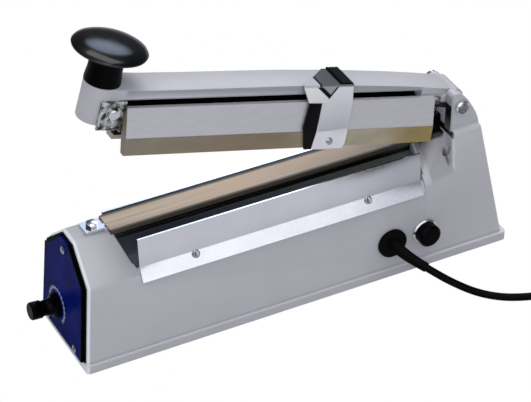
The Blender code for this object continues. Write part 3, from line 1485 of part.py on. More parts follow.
def make_plug(root, mouth, leave):
    """Two-pin plug lying on the table with its tapered strain relief."""
    level = Vector((leave.x, leave.y, 0)).normalized()
    place = facing(mouth + level * TOUCH_GAP, level)
    length, width, height = PLUG_BODY
    neck = PLUG_NECK_LENGTH
    drop = mouth.z - height / 2
    body = part("plug", loft([
        [(-x, y - drop * share, z) for x, y in (
            (-across, -tall), (across, -tall), (across, tall), (-across, tall)
        )]
        for z, across, tall, share in (
            (0, CORD_RADIUS * 1.1, CORD_RADIUS * 1.1, 0), (neck, width * 0.28, height * 0.32, 0.8),
            (neck + length * 0.15, width / 2, height / 2, 1),
            (neck + length, width / 2, height / 2, 1),
        )
    ]), "black_plastic", root, place)
    round_edges(body, CORD_RADIUS * 0.4)
    for side in (-1, 1):
        pin_at = place @ at(side * BLADE_PIN_SPREAD / 2, -drop, neck + length)
        pin = rod(BLADE_PIN_RADIUS, -BLADE_PIN_RADIUS, BLADE_PIN_LENGTH, 16)
        combine(body, cutter(pin, root, pin_at), "UNION")


def centre_on_origin(root, left_out):
    """Put the middle of the solid pieces but the cord's over the origin."""
    bpy.context.view_layer.update()
    graph = bpy.context.evaluated_depsgraph_get()
    corners = []
    for obj in PARTS.objects:
        if obj.type != "MESH" or obj.name in left_out:
            continue
        evaluated = obj.evaluated_get(graph)
        corners += [evaluated.matrix_world @ Vector(corner) for corner in evaluated.bound_box]
    for axis in (0, 1):
        low = min(corner[axis] for corner in corners)
        high = max(corner[axis] for corner in corners)
        root.location[axis] -= (low + high) / 2
    print("origin lies at bench x, y", -root.location.x, -root.location.y)
    print("plunger travel mm", 1000 * PLUNGER_DROP)


def main():
    root = empty("bench")
    axis = empty("arm_axis", root, at(HINGE_X, 0, HINGE_Z) @ Matrix.Rotation(ARM_OPEN_ANGLE, 4, "Y"))
    make_casing(root)
    surface = make_front(root)
    make_timer(root, surface)
    floor_z = make_underside(root)
    make_electrics(root, floor_z)
    make_jaw(root)
    make_covers(root)
    make_arm(axis)
    make_press(axis)
    make_rail(axis)
    make_brackets(axis)
    make_knob(axis)
    make_carriage(axis)
    make_hinge(root)
    make_spring_box(root)
    make_spring(root)
    gland_at = wall_frame(GLAND_X, GLAND_Z)
    loops = coil_points()
    cord = cord_points(gland_at, loops)
    make_entry(root, gland_at, cord)
    make_cord(root, loops, cord)
    centre_on_origin(root, ("cord_gland", "power_cord", "cord_coil", "coil_tie", "plug"))


main()
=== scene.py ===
"""Looks of the hand bag sealer: pieces, finishes, light and the photo's camera.

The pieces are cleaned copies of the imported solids, and the cord is drawn along its own route.
Places are in metres in the bench frame, where the part's source is written, unless a line says
otherwise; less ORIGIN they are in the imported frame. On the arm, u runs forward of the hinge and
w up from it. A band is (low, high, soft), the last being the half width of its soft ends.
"""

import json
import math

import bmesh
import bpy
from mathutils import Matrix, Vector

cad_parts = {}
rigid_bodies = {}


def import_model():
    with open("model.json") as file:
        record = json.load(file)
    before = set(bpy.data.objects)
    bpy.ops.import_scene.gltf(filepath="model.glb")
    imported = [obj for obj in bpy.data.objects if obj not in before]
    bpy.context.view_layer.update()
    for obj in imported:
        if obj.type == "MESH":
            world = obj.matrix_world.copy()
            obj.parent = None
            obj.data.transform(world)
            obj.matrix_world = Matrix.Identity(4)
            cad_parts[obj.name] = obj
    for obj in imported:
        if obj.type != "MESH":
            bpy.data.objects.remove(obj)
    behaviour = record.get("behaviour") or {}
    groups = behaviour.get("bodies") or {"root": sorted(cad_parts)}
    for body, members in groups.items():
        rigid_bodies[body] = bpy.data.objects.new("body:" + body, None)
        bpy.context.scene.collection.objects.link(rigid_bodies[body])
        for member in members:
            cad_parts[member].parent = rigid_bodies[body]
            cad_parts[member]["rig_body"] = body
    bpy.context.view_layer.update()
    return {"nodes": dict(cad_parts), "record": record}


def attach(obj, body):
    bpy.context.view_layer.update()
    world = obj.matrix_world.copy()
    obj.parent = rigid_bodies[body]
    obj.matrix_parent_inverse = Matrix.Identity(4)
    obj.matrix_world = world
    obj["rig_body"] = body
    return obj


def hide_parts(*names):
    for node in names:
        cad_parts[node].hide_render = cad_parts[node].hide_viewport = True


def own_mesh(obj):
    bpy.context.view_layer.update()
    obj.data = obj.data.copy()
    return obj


bpy.ops.object.select_all(action="SELECT")
bpy.ops.object.delete()
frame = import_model()

ORIGIN = Vector((0.19218, -0.00528, 0))
FAR = 1.0

# Camera of the photo
CAMERA_AT = Vector((-0.6011, -1.4874, 1.3393)) - ORIGIN
AZIMUTH = math.radians(-28.03)
ELEVATION = math.radians(36.6)
ROLL = math.radians(0.56)
FOCAL_PIXELS = 2448.96
FRAME_PIXELS = 531
SENSOR = 36.0
CLIP = (0.05, 30)

# Bands on the casing, where highlights, shade and shadow are painted
FRONT_NORMAL = (0.99813, 0, -0.06105)
# Painted highlight: a near-white band along the casing's front edge
MOUTH_RIM_HIGHLIGHT = (-0.0100, 0.0022, 0.0006)
# Painted highlight on the hem's lip, and painted shade on the band below it
HEM_HIGHLIGHT_Z = (0.0080, 0.0096, 0.0003)
HEM_SHADOW_Z = (0.0102, 0.0122, 0.0005)
# Painted shade on the casing's shoulder just ahead of the tower
REAR_SHADE_X = (0.3330, 0.3590, 0.0010)
REAR_SHADE_Z = (0.0860, 0.2000, 0.0020)
# Painted shade inside the jaw's pocket, darker towards its front end
POCKET_AHEAD = (0.0418, FAR, 0.0004)
POCKET_X = (0.0, 0.3275, 0.0004)
POCKET_Y = (-FAR, 0.0342, 0.0004)
POCKET_Z = (0.0872, 0.1125, 0.0004)
POCKET_SKEW_Y = 0.01275
POCKET_SKEW = math.tan(math.radians(18))
POCKET_FADE_X = (0.10, 0.30)
# Painted shadow, near black, behind the jaw, in the tower's slot and on the ear fronts
RIDGE_X = (0.3330, 0.3592, 0.0003)
RIDGE_Y = (-0.0140, FAR, 0.0010)
RIDGE_Z = (0.1050, 0.1160, 0.0003)
SLOT_X = (0.3537, 0.3568, 0.0012)
SLOT_Y = (-FAR, -0.0200, 0.0005)
SLOT_Z = (0.0925, 0.1040, 0.0025)
EAR_FRONT_Z = (0.1175, 0.1490, 0.0006)
EAR_FACING = (0.6, 0.9)
# Painted highlight along the tower's front near edge
TOWER_EDGE_HIGHLIGHT_X = (0.3582, 0.3598, 0.0004)
TOWER_EDGE_HIGHLIGHT_Z = (0.0880, 0.1235, 0.0010)

# Near cover plate and strip
# Painted shade on the near cover plate, fading in towards its rear end
LEAF_SHADE_FADE_X = (0.25, 0.30)
# Painted highlights in pale stripes on the jaw's cloth, towards its front
HIGHLIGHT_STREAK_FADE_X = (0.05, 0.30)
TAN_FADE_X = (0.05, 0.16)
STRIP_EDGE_Y = (0.0088, 0.0104)

# Arm, its rail and the tape on it
ARM_AXIS = Vector((0.3670, 0, 0.1474)) - ORIGIN
ARM_FORWARD = Vector((-0.96502, 0, 0.26219))
ARM_UP = Vector((0.26219, 0, 0.96502))
KNOB_STEM_TOP_W = 0.0458
# Painted shade on the arm's near side behind the nose
SHADED_FLANK_U = (0.0360, 0.3250, 0.0020)
SHADED_FLANK_FACING = (0.75, 0.97)
# Painted shadow, near black, under the arm's tail
TAIL_SHADE_U = (0.0040, 0.0345, 0.0010)
TAIL_SHADE_W = (-FAR, -0.0030, 0.0008)
TAPE_GREY_U = (0.20, 0.30)
TAPE_PALE_U = (0.11, 0.19)
# Painted gold highlight on the tape near the hinge
TAPE_GOLD_HIGHLIGHT_U = (0.040, 0.085)

# Cutter carriage: bands in w, u, and distances from lines on the arm's side view, each line
# being a point (u, w) and a normal
# These bands place painted reflections and a painted highlight on the carriage's chrome
STRAP_TOP_W = (0.0187, FAR, 0.0004)
STRAP_SIDE_W = (-FAR, 0.0187, 0.0004)
ABOVE_WING_W = (0.0052, FAR, 0.0004)
WING_W = (-FAR, 0.0052, 0.0004)
STRAP_LINE_U = (0.1436, 0.1462, 0.0004)
CORNER_U = (0.1458, FAR, 0.0003)
FRONT_LINE = ((0.1270, 0.0182), (0.7737, 0.6334))
WING_LINE = ((0.1419, 0.0), (0.986, 0.1668))
FOLD_LINE = ((0.1305, 0.0074), (0.604, -0.797))
PAST_FRONT = (0.0, FAR, 0.0003)
PAST_WING = (0.0, FAR, 0.0004)
FACET_HIGHLIGHT = (0.0016, FAR, 0.0003)
FRONT_CREASE = (-0.0004, 0.0016, 0.0004)
FRONT_CREASE_END = (-FAR, 0.0018, 0.0003)
FOLD_CREASE = (-0.0018, 0.0016, 0.0004)
PLATED = 0.75

# Front panel, with the dial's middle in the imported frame; an edge of the panel is where
# |y| + slope * z reaches a width
DIAL_MIDDLE = Vector((-0.19431, 0.01578, 0.03727))
DIAL_STRETCH = 1.0019
DIAL_RADIUS = 0.0153
DIAL_RING = (DIAL_RADIUS - 0.0007, DIAL_RADIUS + 0.0007, 0.0005)
DIAL_TICKS = (DIAL_RADIUS - 0.0018, DIAL_RADIUS + 0.0020, 0.0003)
TICKS_PER_TURN = 22
TICK_SHARES = (0.38, 0.62, 0.04)
DIAL_SWEEP = (2.30, 2.36)
PANEL_EDGES = ((0.0292, 0.0385), (1.1345, 0.1317))
PANEL_RIM = 0.0003

# Clean-up of the solids' meshes, and softened edges
WELD = 0.000002
FLAT_ANGLE = math.radians(0.3)
SHARP_ANGLE = math.radians(38)
BEVELS = {"front_panel": 0.0004, "cover_near": 0.0003, "cover_far": 0.0003}

# Cord, as in the part's source; the wall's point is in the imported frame
CORD_RADIUS = 0.0034
TOUCH_GAP = 0.0003
WALL_POINT = Vector((0.10042, -0.03793, 0.0372))
WALL_OUT = Vector((0.0, -0.99957, 0.02923))
WALL_REACH = 0.0074
POINTS_IN_WALL = 2
ROUTE_STEPS = 5
COIL_MIDDLE = Vector((0.4360, -0.1850, 0)) - ORIGIN
COIL_RADIUS = 0.0400
COIL_START_ANGLE = math.radians(92)
LAYER_TURNS = 2.75
COIL_GAP = 0.0008
CLIMB_TURNS = 0.5
LOOP_POINTS = 48
CORD_ROUTE = (
    (0.2990, -0.0625, 0.0322), (0.3090, -0.0770, 0.0265), (0.3250, -0.0925, 0.0165),
    (0.3430, -0.1060, 0.0080), (0.3620, -0.1180, 0.0042), (0.3840, -0.1280, 0.0037),
    (0.4090, -0.1340, 0.0037),
)

# Light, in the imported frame: name, place, size and power of the lamps, which aim at one point
LAMP_AIM = (0, 0, 0.1)
LAMPS = (
    ("key", (-0.7, -1.1, 1.5), (1.2, 1.2), 7),
    ("top", (0.2, 0.1, 1.8), (1.6, 1.0), 12),
)
FLOOR_REACH = 6
FLOOR_DROP = 0.0002
FLOOR_SHADE = 0.66
SOFT_LIGHT = ((0.90, 0.93, 1.0), 0.55)
STUDIO_LIGHT = ((0.86, 0.88, 1.0), 0.14)

# Cards seen in reflections: direction, inner and outer angle in degrees, colour and strength
STUDIO_CARDS = (
    ((0.0, 0.0, 1.0), 20, 55, (0.90, 0.93, 1.0), 0.50),
    ((-0.164, -0.931, 0.326), 32.5, 41, (0.96, 0.97, 1.0), 1.25),
    ((0.52, 0.63, 0.57), 5, 17, (0.66, 0.80, 1.0), 3.7),
    ((-0.80, 0.20, 0.30), 10, 40, (0.30, 0.32, 0.40), 0.10),
)


# Camera

def make_camera():
    back = Vector((
        math.sin(AZIMUTH) * math.cos(ELEVATION), -math.cos(AZIMUTH) * math.cos(ELEVATION),
        math.sin(ELEVATION),
    ))
    right = Vector((math.cos(AZIMUTH), math.sin(AZIMUTH), 0))
    up = back.cross(right)
    level = right * math.cos(ROLL) + up * math.sin(ROLL)
    tall = up * math.cos(ROLL) - right * math.sin(ROLL)
    data = bpy.data.cameras.new("camera")
    data.sensor_width = SENSOR
    data.lens = FOCAL_PIXELS / FRAME_PIXELS * SENSOR
    data.clip_start, data.clip_end = CLIP
    camera = bpy.data.objects.new("camera", data)
    bpy.context.collection.objects.link(camera)
    turn = Matrix((level, tall, back)).transposed().to_4x4()
    camera.matrix_world = Matrix.Translation(CAMERA_AT) @ turn
    bpy.context.scene.camera = camera


# Shader helpers

def linear(value):
    """Linear light of a display value from 0 to 255."""
    share = value / 255
    return share / 12.92 if share <= 0.04045 else ((share + 0.055) / 1.055) ** 2.4


def shade(red, green, blue):
    return tuple(linear(v) for v in (red, green, blue))


class Nodes:
    """Node tree of one material, with short calls for the nodes used here."""

    def __init__(self, name):
        self.material = bpy.data.materials.new(name)
        self.material.use_nodes = True
        self.tree = self.material.node_tree
        self.tree.nodes.clear()
        self.output = self.add("ShaderNodeOutputMaterial")
        self.place = self.add("ShaderNodeTexCoord").outputs["Object"]

    def add(self, kind, **settings):
        node = self.tree.nodes.new(kind)
        for key, value in settings.items():
            setattr(node, key, value)
        return node

    def put(self, socket, value):
        if isinstance(value, bpy.types.NodeSocket):
            self.tree.links.new(value, socket)
        else:
            socket.default_value = value

    def math(self, operation, first, second=0.0, third=None):
        node = self.add("ShaderNodeMath", operation=operation)
        self.put(node.inputs[0], first)
        self.put(node.inputs[1], second)
        if third is not None:
            self.put(node.inputs[2], third)
        return node.outputs[0]

    def noise(self, scale, detail=3.0, roughness=0.5, stretch=(1, 1, 1)):
        moved = self.add("ShaderNodeMapping")
        moved.inputs["Scale"].default_value = stretch
        self.put(moved.inputs["Vector"], self.place)
        node = self.add("ShaderNodeTexNoise")
        self.put(node.inputs["Vector"], moved.outputs[0])
        node.inputs["Scale"].default_value = scale
        node.inputs["Detail"].default_value = detail
        node.inputs["Roughness"].default_value = roughness
        return node.outputs["Fac"]

    def ranged(self, value, low, high, from_low=0.3, from_high=0.7, smooth=False):
        """Value carried from one range to another; the first one suits a noise."""
        node = self.add("ShaderNodeMapRange")
        node.interpolation_type = "SMOOTHSTEP" if smooth else "LINEAR"
        node.clamp = True
        self.put(node.inputs["Value"], value)
        for key, number in (
            ("From Min", from_low), ("From Max", from_high), ("To Min", low), ("To Max", high),
        ):
            node.inputs[key].default_value = number
        return node.outputs["Result"]

    def mix(self, share, first, second):
        node = self.add("ShaderNodeMix", data_type="RGBA")
        self.put(node.inputs["Factor"], share)
        for socket, value in ((node.inputs["A"], first), (node.inputs["B"], second)):
            self.put(socket, value)
        return node.outputs["Result"]

    def colour(self, value):
        node = self.add("ShaderNodeRGB")
        node.outputs[0].default_value = (*value, 1)
        return node.outputs[0]

    def bump(self, height, strength, distance):
        node = self.add("ShaderNodeBump")
        node.inputs["Strength"].default_value = strength
        node.inputs["Distance"].default_value = distance
        self.put(node.inputs["Height"], height)
        return node.outputs["Normal"]

    def surface(self, colour, roughness, metalness=0.0, normal=None, constants=()):
        shader = self.add("ShaderNodeBsdfPrincipled")
        self.put(shader.inputs["Base Color"], colour)
        self.put(shader.inputs["Roughness"], roughness)
        self.put(shader.inputs["Metallic"], metalness)
        if normal is not None:
            self.put(shader.inputs["Normal"], normal)
        for key, value in constants:
            shader.inputs[key].default_value = value
        self.put(self.output.inputs["Surface"], shader.outputs[0])
        return self.material


def speckled(nodes, colour, spread, scale, stretch=(1, 1, 1)):
    """Colour that wanders a little lighter and darker over the surface."""
    share = nodes.ranged(nodes.noise(scale, stretch=stretch), 0.0, 1.0)
    dark = tuple(v * (1 - spread) for v in colour)
    light = tuple(min(v * (1 + spread), 1) for v in colour)
    return nodes.mix(share, nodes.colour(dark), nodes.colour(light))


def painted(nodes, mixed, share, colour, strength=1.0):
    """Another colour laid over the one so far, by a share of each point."""
    if strength < 1:
        share = nodes.math("MULTIPLY", share, strength)
    return nodes.mix(share, mixed, nodes.colour(colour))


def band(nodes, value, low, high, soft):
    """1 where a value lies between two limits, with soft ends."""
    rise = nodes.ranged(value, 0.0, 1.0, low - soft, low + soft)
    fall = nodes.ranged(value, 1.0, 0.0, high - soft, high + soft)
    return nodes.math("MULTIPLY", rise, fall)


def in_bands(nodes, *pairs):
    """1 where each value lies in its own band."""
    shares = [band(nodes, value, *limits) for value, limits in pairs]
    return combined(nodes, "MULTIPLY", *shares)


def combined(nodes, operation, first, *others):
    for other in others:
        first = nodes.math(operation, first, other)
    return first


def along(nodes, start, direction):
    """Distance of a point from a start along a direction, in the piece's rest place."""
    apart = nodes.add("ShaderNodeVectorMath", operation="SUBTRACT")
    nodes.put(apart.inputs[0], nodes.place)
    apart.inputs[1].default_value = start
    dot = nodes.add("ShaderNodeVectorMath", operation="DOT_PRODUCT")
    nodes.put(dot.inputs[0], apart.outputs[0])
    dot.inputs[1].default_value = direction
    return dot.outputs["Value"]


def bench_places(nodes):
    """x, y and z of a point in the bench frame."""
    return [along(nodes, -ORIGIN, axis) for axis in ((1, 0, 0), (0, 1, 0), (0, 0, 1))]


def arm_places(nodes):
    """u and w of a point on the arm."""
    return [along(nodes, ARM_AXIS, axis) for axis in (ARM_FORWARD, ARM_UP)]


def from_line(nodes, u, w, at, normal):
    """Signed distance from a line drawn on the arm's side view."""
    first = nodes.math("MULTIPLY", nodes.math("SUBTRACT", u, at[0]), normal[0])
    return nodes.math("MULTIPLY_ADD", nodes.math("SUBTRACT", w, at[1]), normal[1], first)


def facing_along(nodes, direction, low, high):
    """1 on faces that look along a direction at rest, 0 on the others."""
    dot = nodes.add("ShaderNodeVectorMath", operation="DOT_PRODUCT")
    nodes.put(dot.inputs[0], nodes.add("ShaderNodeTexCoord").outputs["Normal"])
    dot.inputs[1].default_value = direction
    return nodes.ranged(dot.outputs["Value"], 0.0, 1.0, low, high)


# Marks on single pieces

def pocket_inside(nodes, x, y, z):
    """1 inside the jaw's pocket, whose front end is skewed past a distance from the middle."""
    skew = nodes.math("MULTIPLY", nodes.math("SUBTRACT", y, POCKET_SKEW_Y), POCKET_SKEW)
    ahead = nodes.math("SUBTRACT", x, nodes.math("MAXIMUM", skew, 0.0))
    return in_bands(nodes, (ahead, POCKET_AHEAD), (x, POCKET_X), (y, POCKET_Y), (z, POCKET_Z))


def casing_marks(nodes, mixed):
    """Painted highlights on the front rim, the hem's lip and the tower's front edge; painted
    shade under the hem, on the rear shoulder and inside the jaw's pocket; and painted shadow,
    near black, behind the jaw, in the tower's slot and on the ear fronts at the hinge.
    """
    x, y, z = bench_places(nodes)
    # Painted highlight along the front rim
    rim = band(nodes, along(nodes, -ORIGIN, FRONT_NORMAL), *MOUTH_RIM_HIGHLIGHT)
    mixed = painted(nodes, mixed, rim, shade(252, 252, 255), strength=0.95)
    # Painted highlight on the hem's lip, then painted shade below it
    hem_highlight = band(nodes, z, *HEM_HIGHLIGHT_Z)
    mixed = painted(nodes, mixed, hem_highlight, shade(226, 225, 232), strength=0.6)
    under = band(nodes, z, *HEM_SHADOW_Z)
    mixed = painted(nodes, mixed, under, shade(140, 139, 144), strength=0.3)
    # Painted shade on the shoulder ahead of the tower
    rear = in_bands(nodes, (x, REAR_SHADE_X), (z, REAR_SHADE_Z))
    mixed = painted(nodes, mixed, rear, shade(120, 120, 122), strength=0.4)
    # Painted shade inside the jaw's pocket, darker towards the front
    depth = nodes.mix(nodes.ranged(x, 0.0, 1.0, *POCKET_FADE_X),
                      nodes.colour(shade(62, 65, 74)), nodes.colour(shade(112, 115, 112)))
    inside = pocket_inside(nodes, x, nodes.math("ABSOLUTE", y), z)
    mixed = nodes.mix(inside, mixed, depth)
    # Painted highlight along the tower's front near edge
    edge = in_bands(nodes, (x, TOWER_EDGE_HIGHLIGHT_X), (z, TOWER_EDGE_HIGHLIGHT_Z))
    mixed = painted(nodes, mixed, edge, shade(232, 234, 238), strength=0.6)
    # Painted shadow, near black: behind the jaw, in the tower's slot at three quarters, and on
    # the ear fronts
    ridge = in_bands(nodes, (x, RIDGE_X), (z, RIDGE_Z), (y, RIDGE_Y))
    slot = in_bands(nodes, (x, SLOT_X), (z, SLOT_Z), (y, SLOT_Y))
    slot = nodes.math("MULTIPLY", slot, 0.75)
    ear = nodes.math("MULTIPLY", facing_along(nodes, (-1, 0, 0), *EAR_FACING),
                     band(nodes, z, *EAR_FRONT_Z))
    black = combined(nodes, "MAXIMUM", ridge, slot, ear)
    return painted(nodes, mixed, black, shade(12, 13, 12))


def arm_marks(nodes, mixed):
    """Painted shade on the arm's near side behind its nose, and painted shadow, near black, under
    its tail seen past the ear.
    """
    u, w = arm_places(nodes)
    # Painted shade on the faces that look to the near side
    flank_shade = nodes.math("MULTIPLY", facing_along(nodes, (0, -1, 0), *SHADED_FLANK_FACING),
                       band(nodes, u, *SHADED_FLANK_U))
    mixed = painted(nodes, mixed, flank_shade, shade(156, 160, 164))
    # Painted shadow, near black, under the tail
    tail = in_bands(nodes, (u, TAIL_SHADE_U), (w, TAIL_SHADE_W))
    return painted(nodes, mixed, tail, shade(14, 14, 15))


def leaf_marks(nodes, mixed):
    """Painted shade: the near cover plate darker towards its rear end."""
    x = along(nodes, -ORIGIN, (1, 0, 0))
    rear_shade = nodes.ranged(x, 0.0, 0.75, *LEAF_SHADE_FADE_X)
    return painted(nodes, mixed, rear_shade, (0.50, 0.51, 0.57))


def past_strap(nodes):
    """1 on the thin corner of the carriage that lies on the arm's top ahead of its strap."""
    u, w = arm_places(nodes)
    return in_bands(nodes, (u, CORNER_U), (w, STRAP_TOP_W))


def wing_marks(nodes, mixed):
    """Painted reflections on the folds of the cutter carriage: near black on the strap's top,
    grey on its front face, a painted white highlight on the sloped face, near black in the
    creases, across the strap and on the wing; and the thin corner ahead of the strap in grey
    paint.
    """
    u, w = arm_places(nodes)
    front, low, fold = (
        from_line(nodes, u, w, *line) for line in (FRONT_LINE, WING_LINE, FOLD_LINE)
    )
    top = band(nodes, w, *STRAP_TOP_W)
    ahead = in_bands(nodes, (w, STRAP_SIDE_W), (front, PAST_FRONT), (w, ABOVE_WING_W))
    facet_highlight = nodes.math("MULTIPLY", ahead, band(nodes, fold, *FACET_HIGHLIGHT))
    # Painted reflections: near black on the strap's top, grey ahead of it, and a white painted
    # highlight on the sloped face
    mixed = painted(nodes, mixed, top, (0.07, 0.07, 0.07), strength=0.8)
    mixed = painted(nodes, mixed, ahead, (0.42, 0.44, 0.46))
    mixed = painted(nodes, mixed, facet_highlight, (1.0, 1.0, 1.0))
    # Painted dark reflections in the creases, across the strap and on the wing
    crease = in_bands(nodes, (front, FRONT_CREASE), (fold, FRONT_CREASE_END))
    creases = nodes.math("MAXIMUM", crease, band(nodes, fold, *FOLD_CREASE))
    creases = nodes.math("MULTIPLY", ahead, creases)
    across = nodes.math("MULTIPLY", top, band(nodes, u, *STRAP_LINE_U))
    wing = in_bands(nodes, (low, PAST_WING), (w, WING_W))
    dark = combined(nodes, "MAXIMUM", creases, across, wing)
    mixed = painted(nodes, mixed, dark, (0.003, 0.003, 0.004))
    return painted(nodes, mixed, past_strap(nodes), shade(196, 195, 200))


def mottled(nodes, mixed):
    """Small dark patches, at random, over a bright plate."""
    share = nodes.ranged(nodes.noise(170, 2, 0.6), 0.0, 1.0, 0.40, 0.62)
    return nodes.mix(share, nodes.colour((0.05, 0.05, 0.05)), mixed)


def jaw_marks(nodes, mixed):
    """Painted shade: all of the jaw's plain metal laid over near black, with pale lines drawn
    along its sides.
    """
    lines = nodes.noise(1.0, 2, 0.5, (3, 1, 900))
    # Painted shade: the whole jaw near black
    mixed = painted(nodes, mixed, 1.0, shade(26, 28, 28))
    return painted(nodes, mixed, nodes.ranged(lines, 0.0, 1.0, 0.42, 0.62), shade(112, 118, 112))


# Finishes

def paint_finish(name, colour, marks=None):
    """Sprayed enamel with a fine orange peel."""
    nodes = Nodes(name)
    mixed = speckled(nodes, colour, spread=0.03, scale=22)
    if marks:
        mixed = marks(nodes, mixed)
    rough = nodes.ranged(nodes.noise(60), 0.37, 0.48)
    peel = nodes.bump(nodes.noise(900, 2), strength=0.10, distance=0.0002)
    return nodes.surface(mixed, rough, normal=peel)


def metal_finish(name, colour, roughness, stretch=(1, 1, 1), grain=400, marks=None,
                 metalness=1.0):
    """Bare metal with a drawn or polished grain, and places marked as painted over."""
    nodes = Nodes(name)
    mixed = speckled(nodes, colour, spread=0.04, scale=30, stretch=stretch)
    if marks:
        mixed = marks(nodes, mixed)
    lines = nodes.noise(grain, 3, 0.6, stretch)
    rough = nodes.ranged(lines, roughness * 0.8, roughness * 1.25)
    if callable(metalness):
        painted_over = nodes.math("MULTIPLY", metalness(nodes), PLATED)
        metalness = nodes.math("SUBTRACT", PLATED, painted_over)
    drawn = nodes.bump(lines, strength=0.04, distance=0.0001)
    return nodes.surface(mixed, rough, metalness, drawn)


def plastic_finish(name, colour, roughness, depth=0.05, gloss=0.5):
    nodes = Nodes(name)
    mixed = speckled(nodes, colour, spread=0.08, scale=80)
    rough = nodes.ranged(nodes.noise(160), roughness * 0.85, roughness * 1.2)
    skin = nodes.bump(nodes.noise(640), strength=depth, distance=0.0002)
    return nodes.surface(mixed, rough, normal=skin, constants=(("Specular IOR Level", gloss),))


def woven(nodes, mixed, roughness):
    """Coated glass cloth of a given colour."""
    weave = nodes.add("ShaderNodeTexChecker")
    weave.inputs["Scale"].default_value = 1600
    nodes.put(weave.inputs["Vector"], nodes.place)
    rough = nodes.ranged(nodes.noise(90), roughness - 0.06, roughness + 0.08)
    threads = nodes.bump(weave.outputs["Fac"], strength=0.12, distance=0.0001)
    return nodes.surface(mixed, rough, normal=threads)


def tape_finish(name, grey, tan, pale, gold_highlight):
    """Tape on the rail: grey at the nose, pale nearer the hinge, and a painted gold highlight
    closest to it.
    """
    nodes = Nodes(name)
    u = along(nodes, ARM_AXIS, ARM_FORWARD)
    mixed = nodes.colour(tan)
    mixed = painted(nodes, mixed, nodes.ranged(u, 0.0, 1.0, *TAPE_GREY_U), grey)
    mixed = painted(nodes, mixed, nodes.ranged(u, 1.0, 0.0, *TAPE_PALE_U, smooth=True), pale)
    # Painted gold highlight near the hinge
    gold_highlight_share = nodes.ranged(u, 1.0, 0.0, *TAPE_GOLD_HIGHLIGHT_U, smooth=True)
    mixed = painted(nodes, mixed, gold_highlight_share, gold_highlight)
    cloud = nodes.ranged(nodes.noise(40, stretch=(1, 3, 3)), 0.88, 1.08)
    shaded = nodes.add("ShaderNodeVectorMath", operation="SCALE")
    nodes.put(shaded.inputs[0], mixed)
    nodes.put(shaded.inputs["Scale"], cloud)
    return woven(nodes, shaded.outputs[0], 0.42)


def strip_finish(name, tan, light, pale, dark):
    """Cloth over the jaw, with pale painted highlights in stripes towards the front and dark
    edges.
    """
    nodes = Nodes(name)
    x, y, _ = bench_places(nodes)
    mixed = painted(nodes, nodes.colour(tan), nodes.ranged(x, 0.0, 1.0, *TAN_FADE_X), light)
    # Pale stripes of painted highlight towards the front
    highlight_streaks = nodes.ranged(nodes.noise(1.0, 3, 0.6, (9, 320, 1)), 0.0, 1.0, 0.36, 0.70)
    near_front = nodes.ranged(x, 0.60, 0.15, *HIGHLIGHT_STREAK_FADE_X)
    mixed = painted(nodes, mixed, nodes.math("MULTIPLY", highlight_streaks, near_front), pale)
    edges = nodes.ranged(nodes.math("ABSOLUTE", y), 0.0, 0.92, *STRIP_EDGE_Y)
    mixed = painted(nodes, mixed, edges, dark)
    return woven(nodes, mixed, 0.34)


def dial_scale(nodes):
    """1 on the ring and ticks round the timer, left open at the bottom."""
    y = along(nodes, DIAL_MIDDLE, (0, 1, 0))
    z = nodes.math("MULTIPLY", along(nodes, DIAL_MIDDLE, (0, 0, 1)), DIAL_STRETCH)
    squares = nodes.math("ADD", nodes.math("MULTIPLY", y, y), nodes.math("MULTIPLY", z, z))
    radius = nodes.math("SQRT", squares)
    angle = nodes.math("ARCTAN2", y, z)
    turns = nodes.math("MULTIPLY_ADD", angle, TICKS_PER_TURN / (2 * math.pi), 0.5)
    ticks = in_bands(nodes, (nodes.math("FRACT", turns), TICK_SHARES), (radius, DIAL_TICKS))
    marked = nodes.math("MAXIMUM", band(nodes, radius, *DIAL_RING), ticks)
    swept = nodes.ranged(nodes.math("ABSOLUTE", angle), 1.0, 0.0, *DIAL_SWEEP)
    return nodes.math("MULTIPLY", marked, swept)


def panel_finish(name, colour, deep):
    """Printed face plate: navy with a black rim and a pale dial scale round the timer."""
    nodes = Nodes(name)
    fade = nodes.ranged(nodes.noise(26), 0.0, 1.0)
    mixed = nodes.mix(fade, nodes.colour(deep), nodes.colour(colour))
    mixed = painted(nodes, mixed, dial_scale(nodes), shade(196, 202, 226), strength=0.75)
    _, y, z = bench_places(nodes)
    across = nodes.math("ABSOLUTE", y)
    rims = [
        nodes.ranged(nodes.math("MULTIPLY_ADD", z, slope, across), 0.0, 1.0,
                     width - PANEL_RIM, width)
        for slope, width in PANEL_EDGES
    ]
    mixed = painted(nodes, mixed, combined(nodes, "MAXIMUM", *rims), (0.0012, 0.0012, 0.0016))
    rough = nodes.ranged(nodes.noise(90), 0.26, 0.38)
    print_grain = nodes.bump(nodes.noise(900, 2), strength=0.05, distance=0.0001)
    return nodes.surface(mixed, rough, normal=print_grain,
                         constants=(("Specular IOR Level", 0.01),))


def glass_finish(name, colour):
    nodes = Nodes(name)
    mixed = speckled(nodes, colour, spread=0.03, scale=60)
    rough = nodes.ranged(nodes.noise(90), 0.02, 0.08)
    return nodes.surface(mixed, rough, constants=(("Transmission Weight", 0.8),))


# Pieces

def slot_of(node):
    rows = frame["record"]["subparts"]
    return next(row["material_slot"] for row in rows if row["node"] == node)


def add_piece(name, data, body, finish, replaced):
    obj = bpy.data.objects.new(name, data)
    bpy.context.collection.objects.link(obj)
    data.materials.clear()
    data.materials.append(finish)
    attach(obj, body)
    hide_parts(*replaced)
    return obj


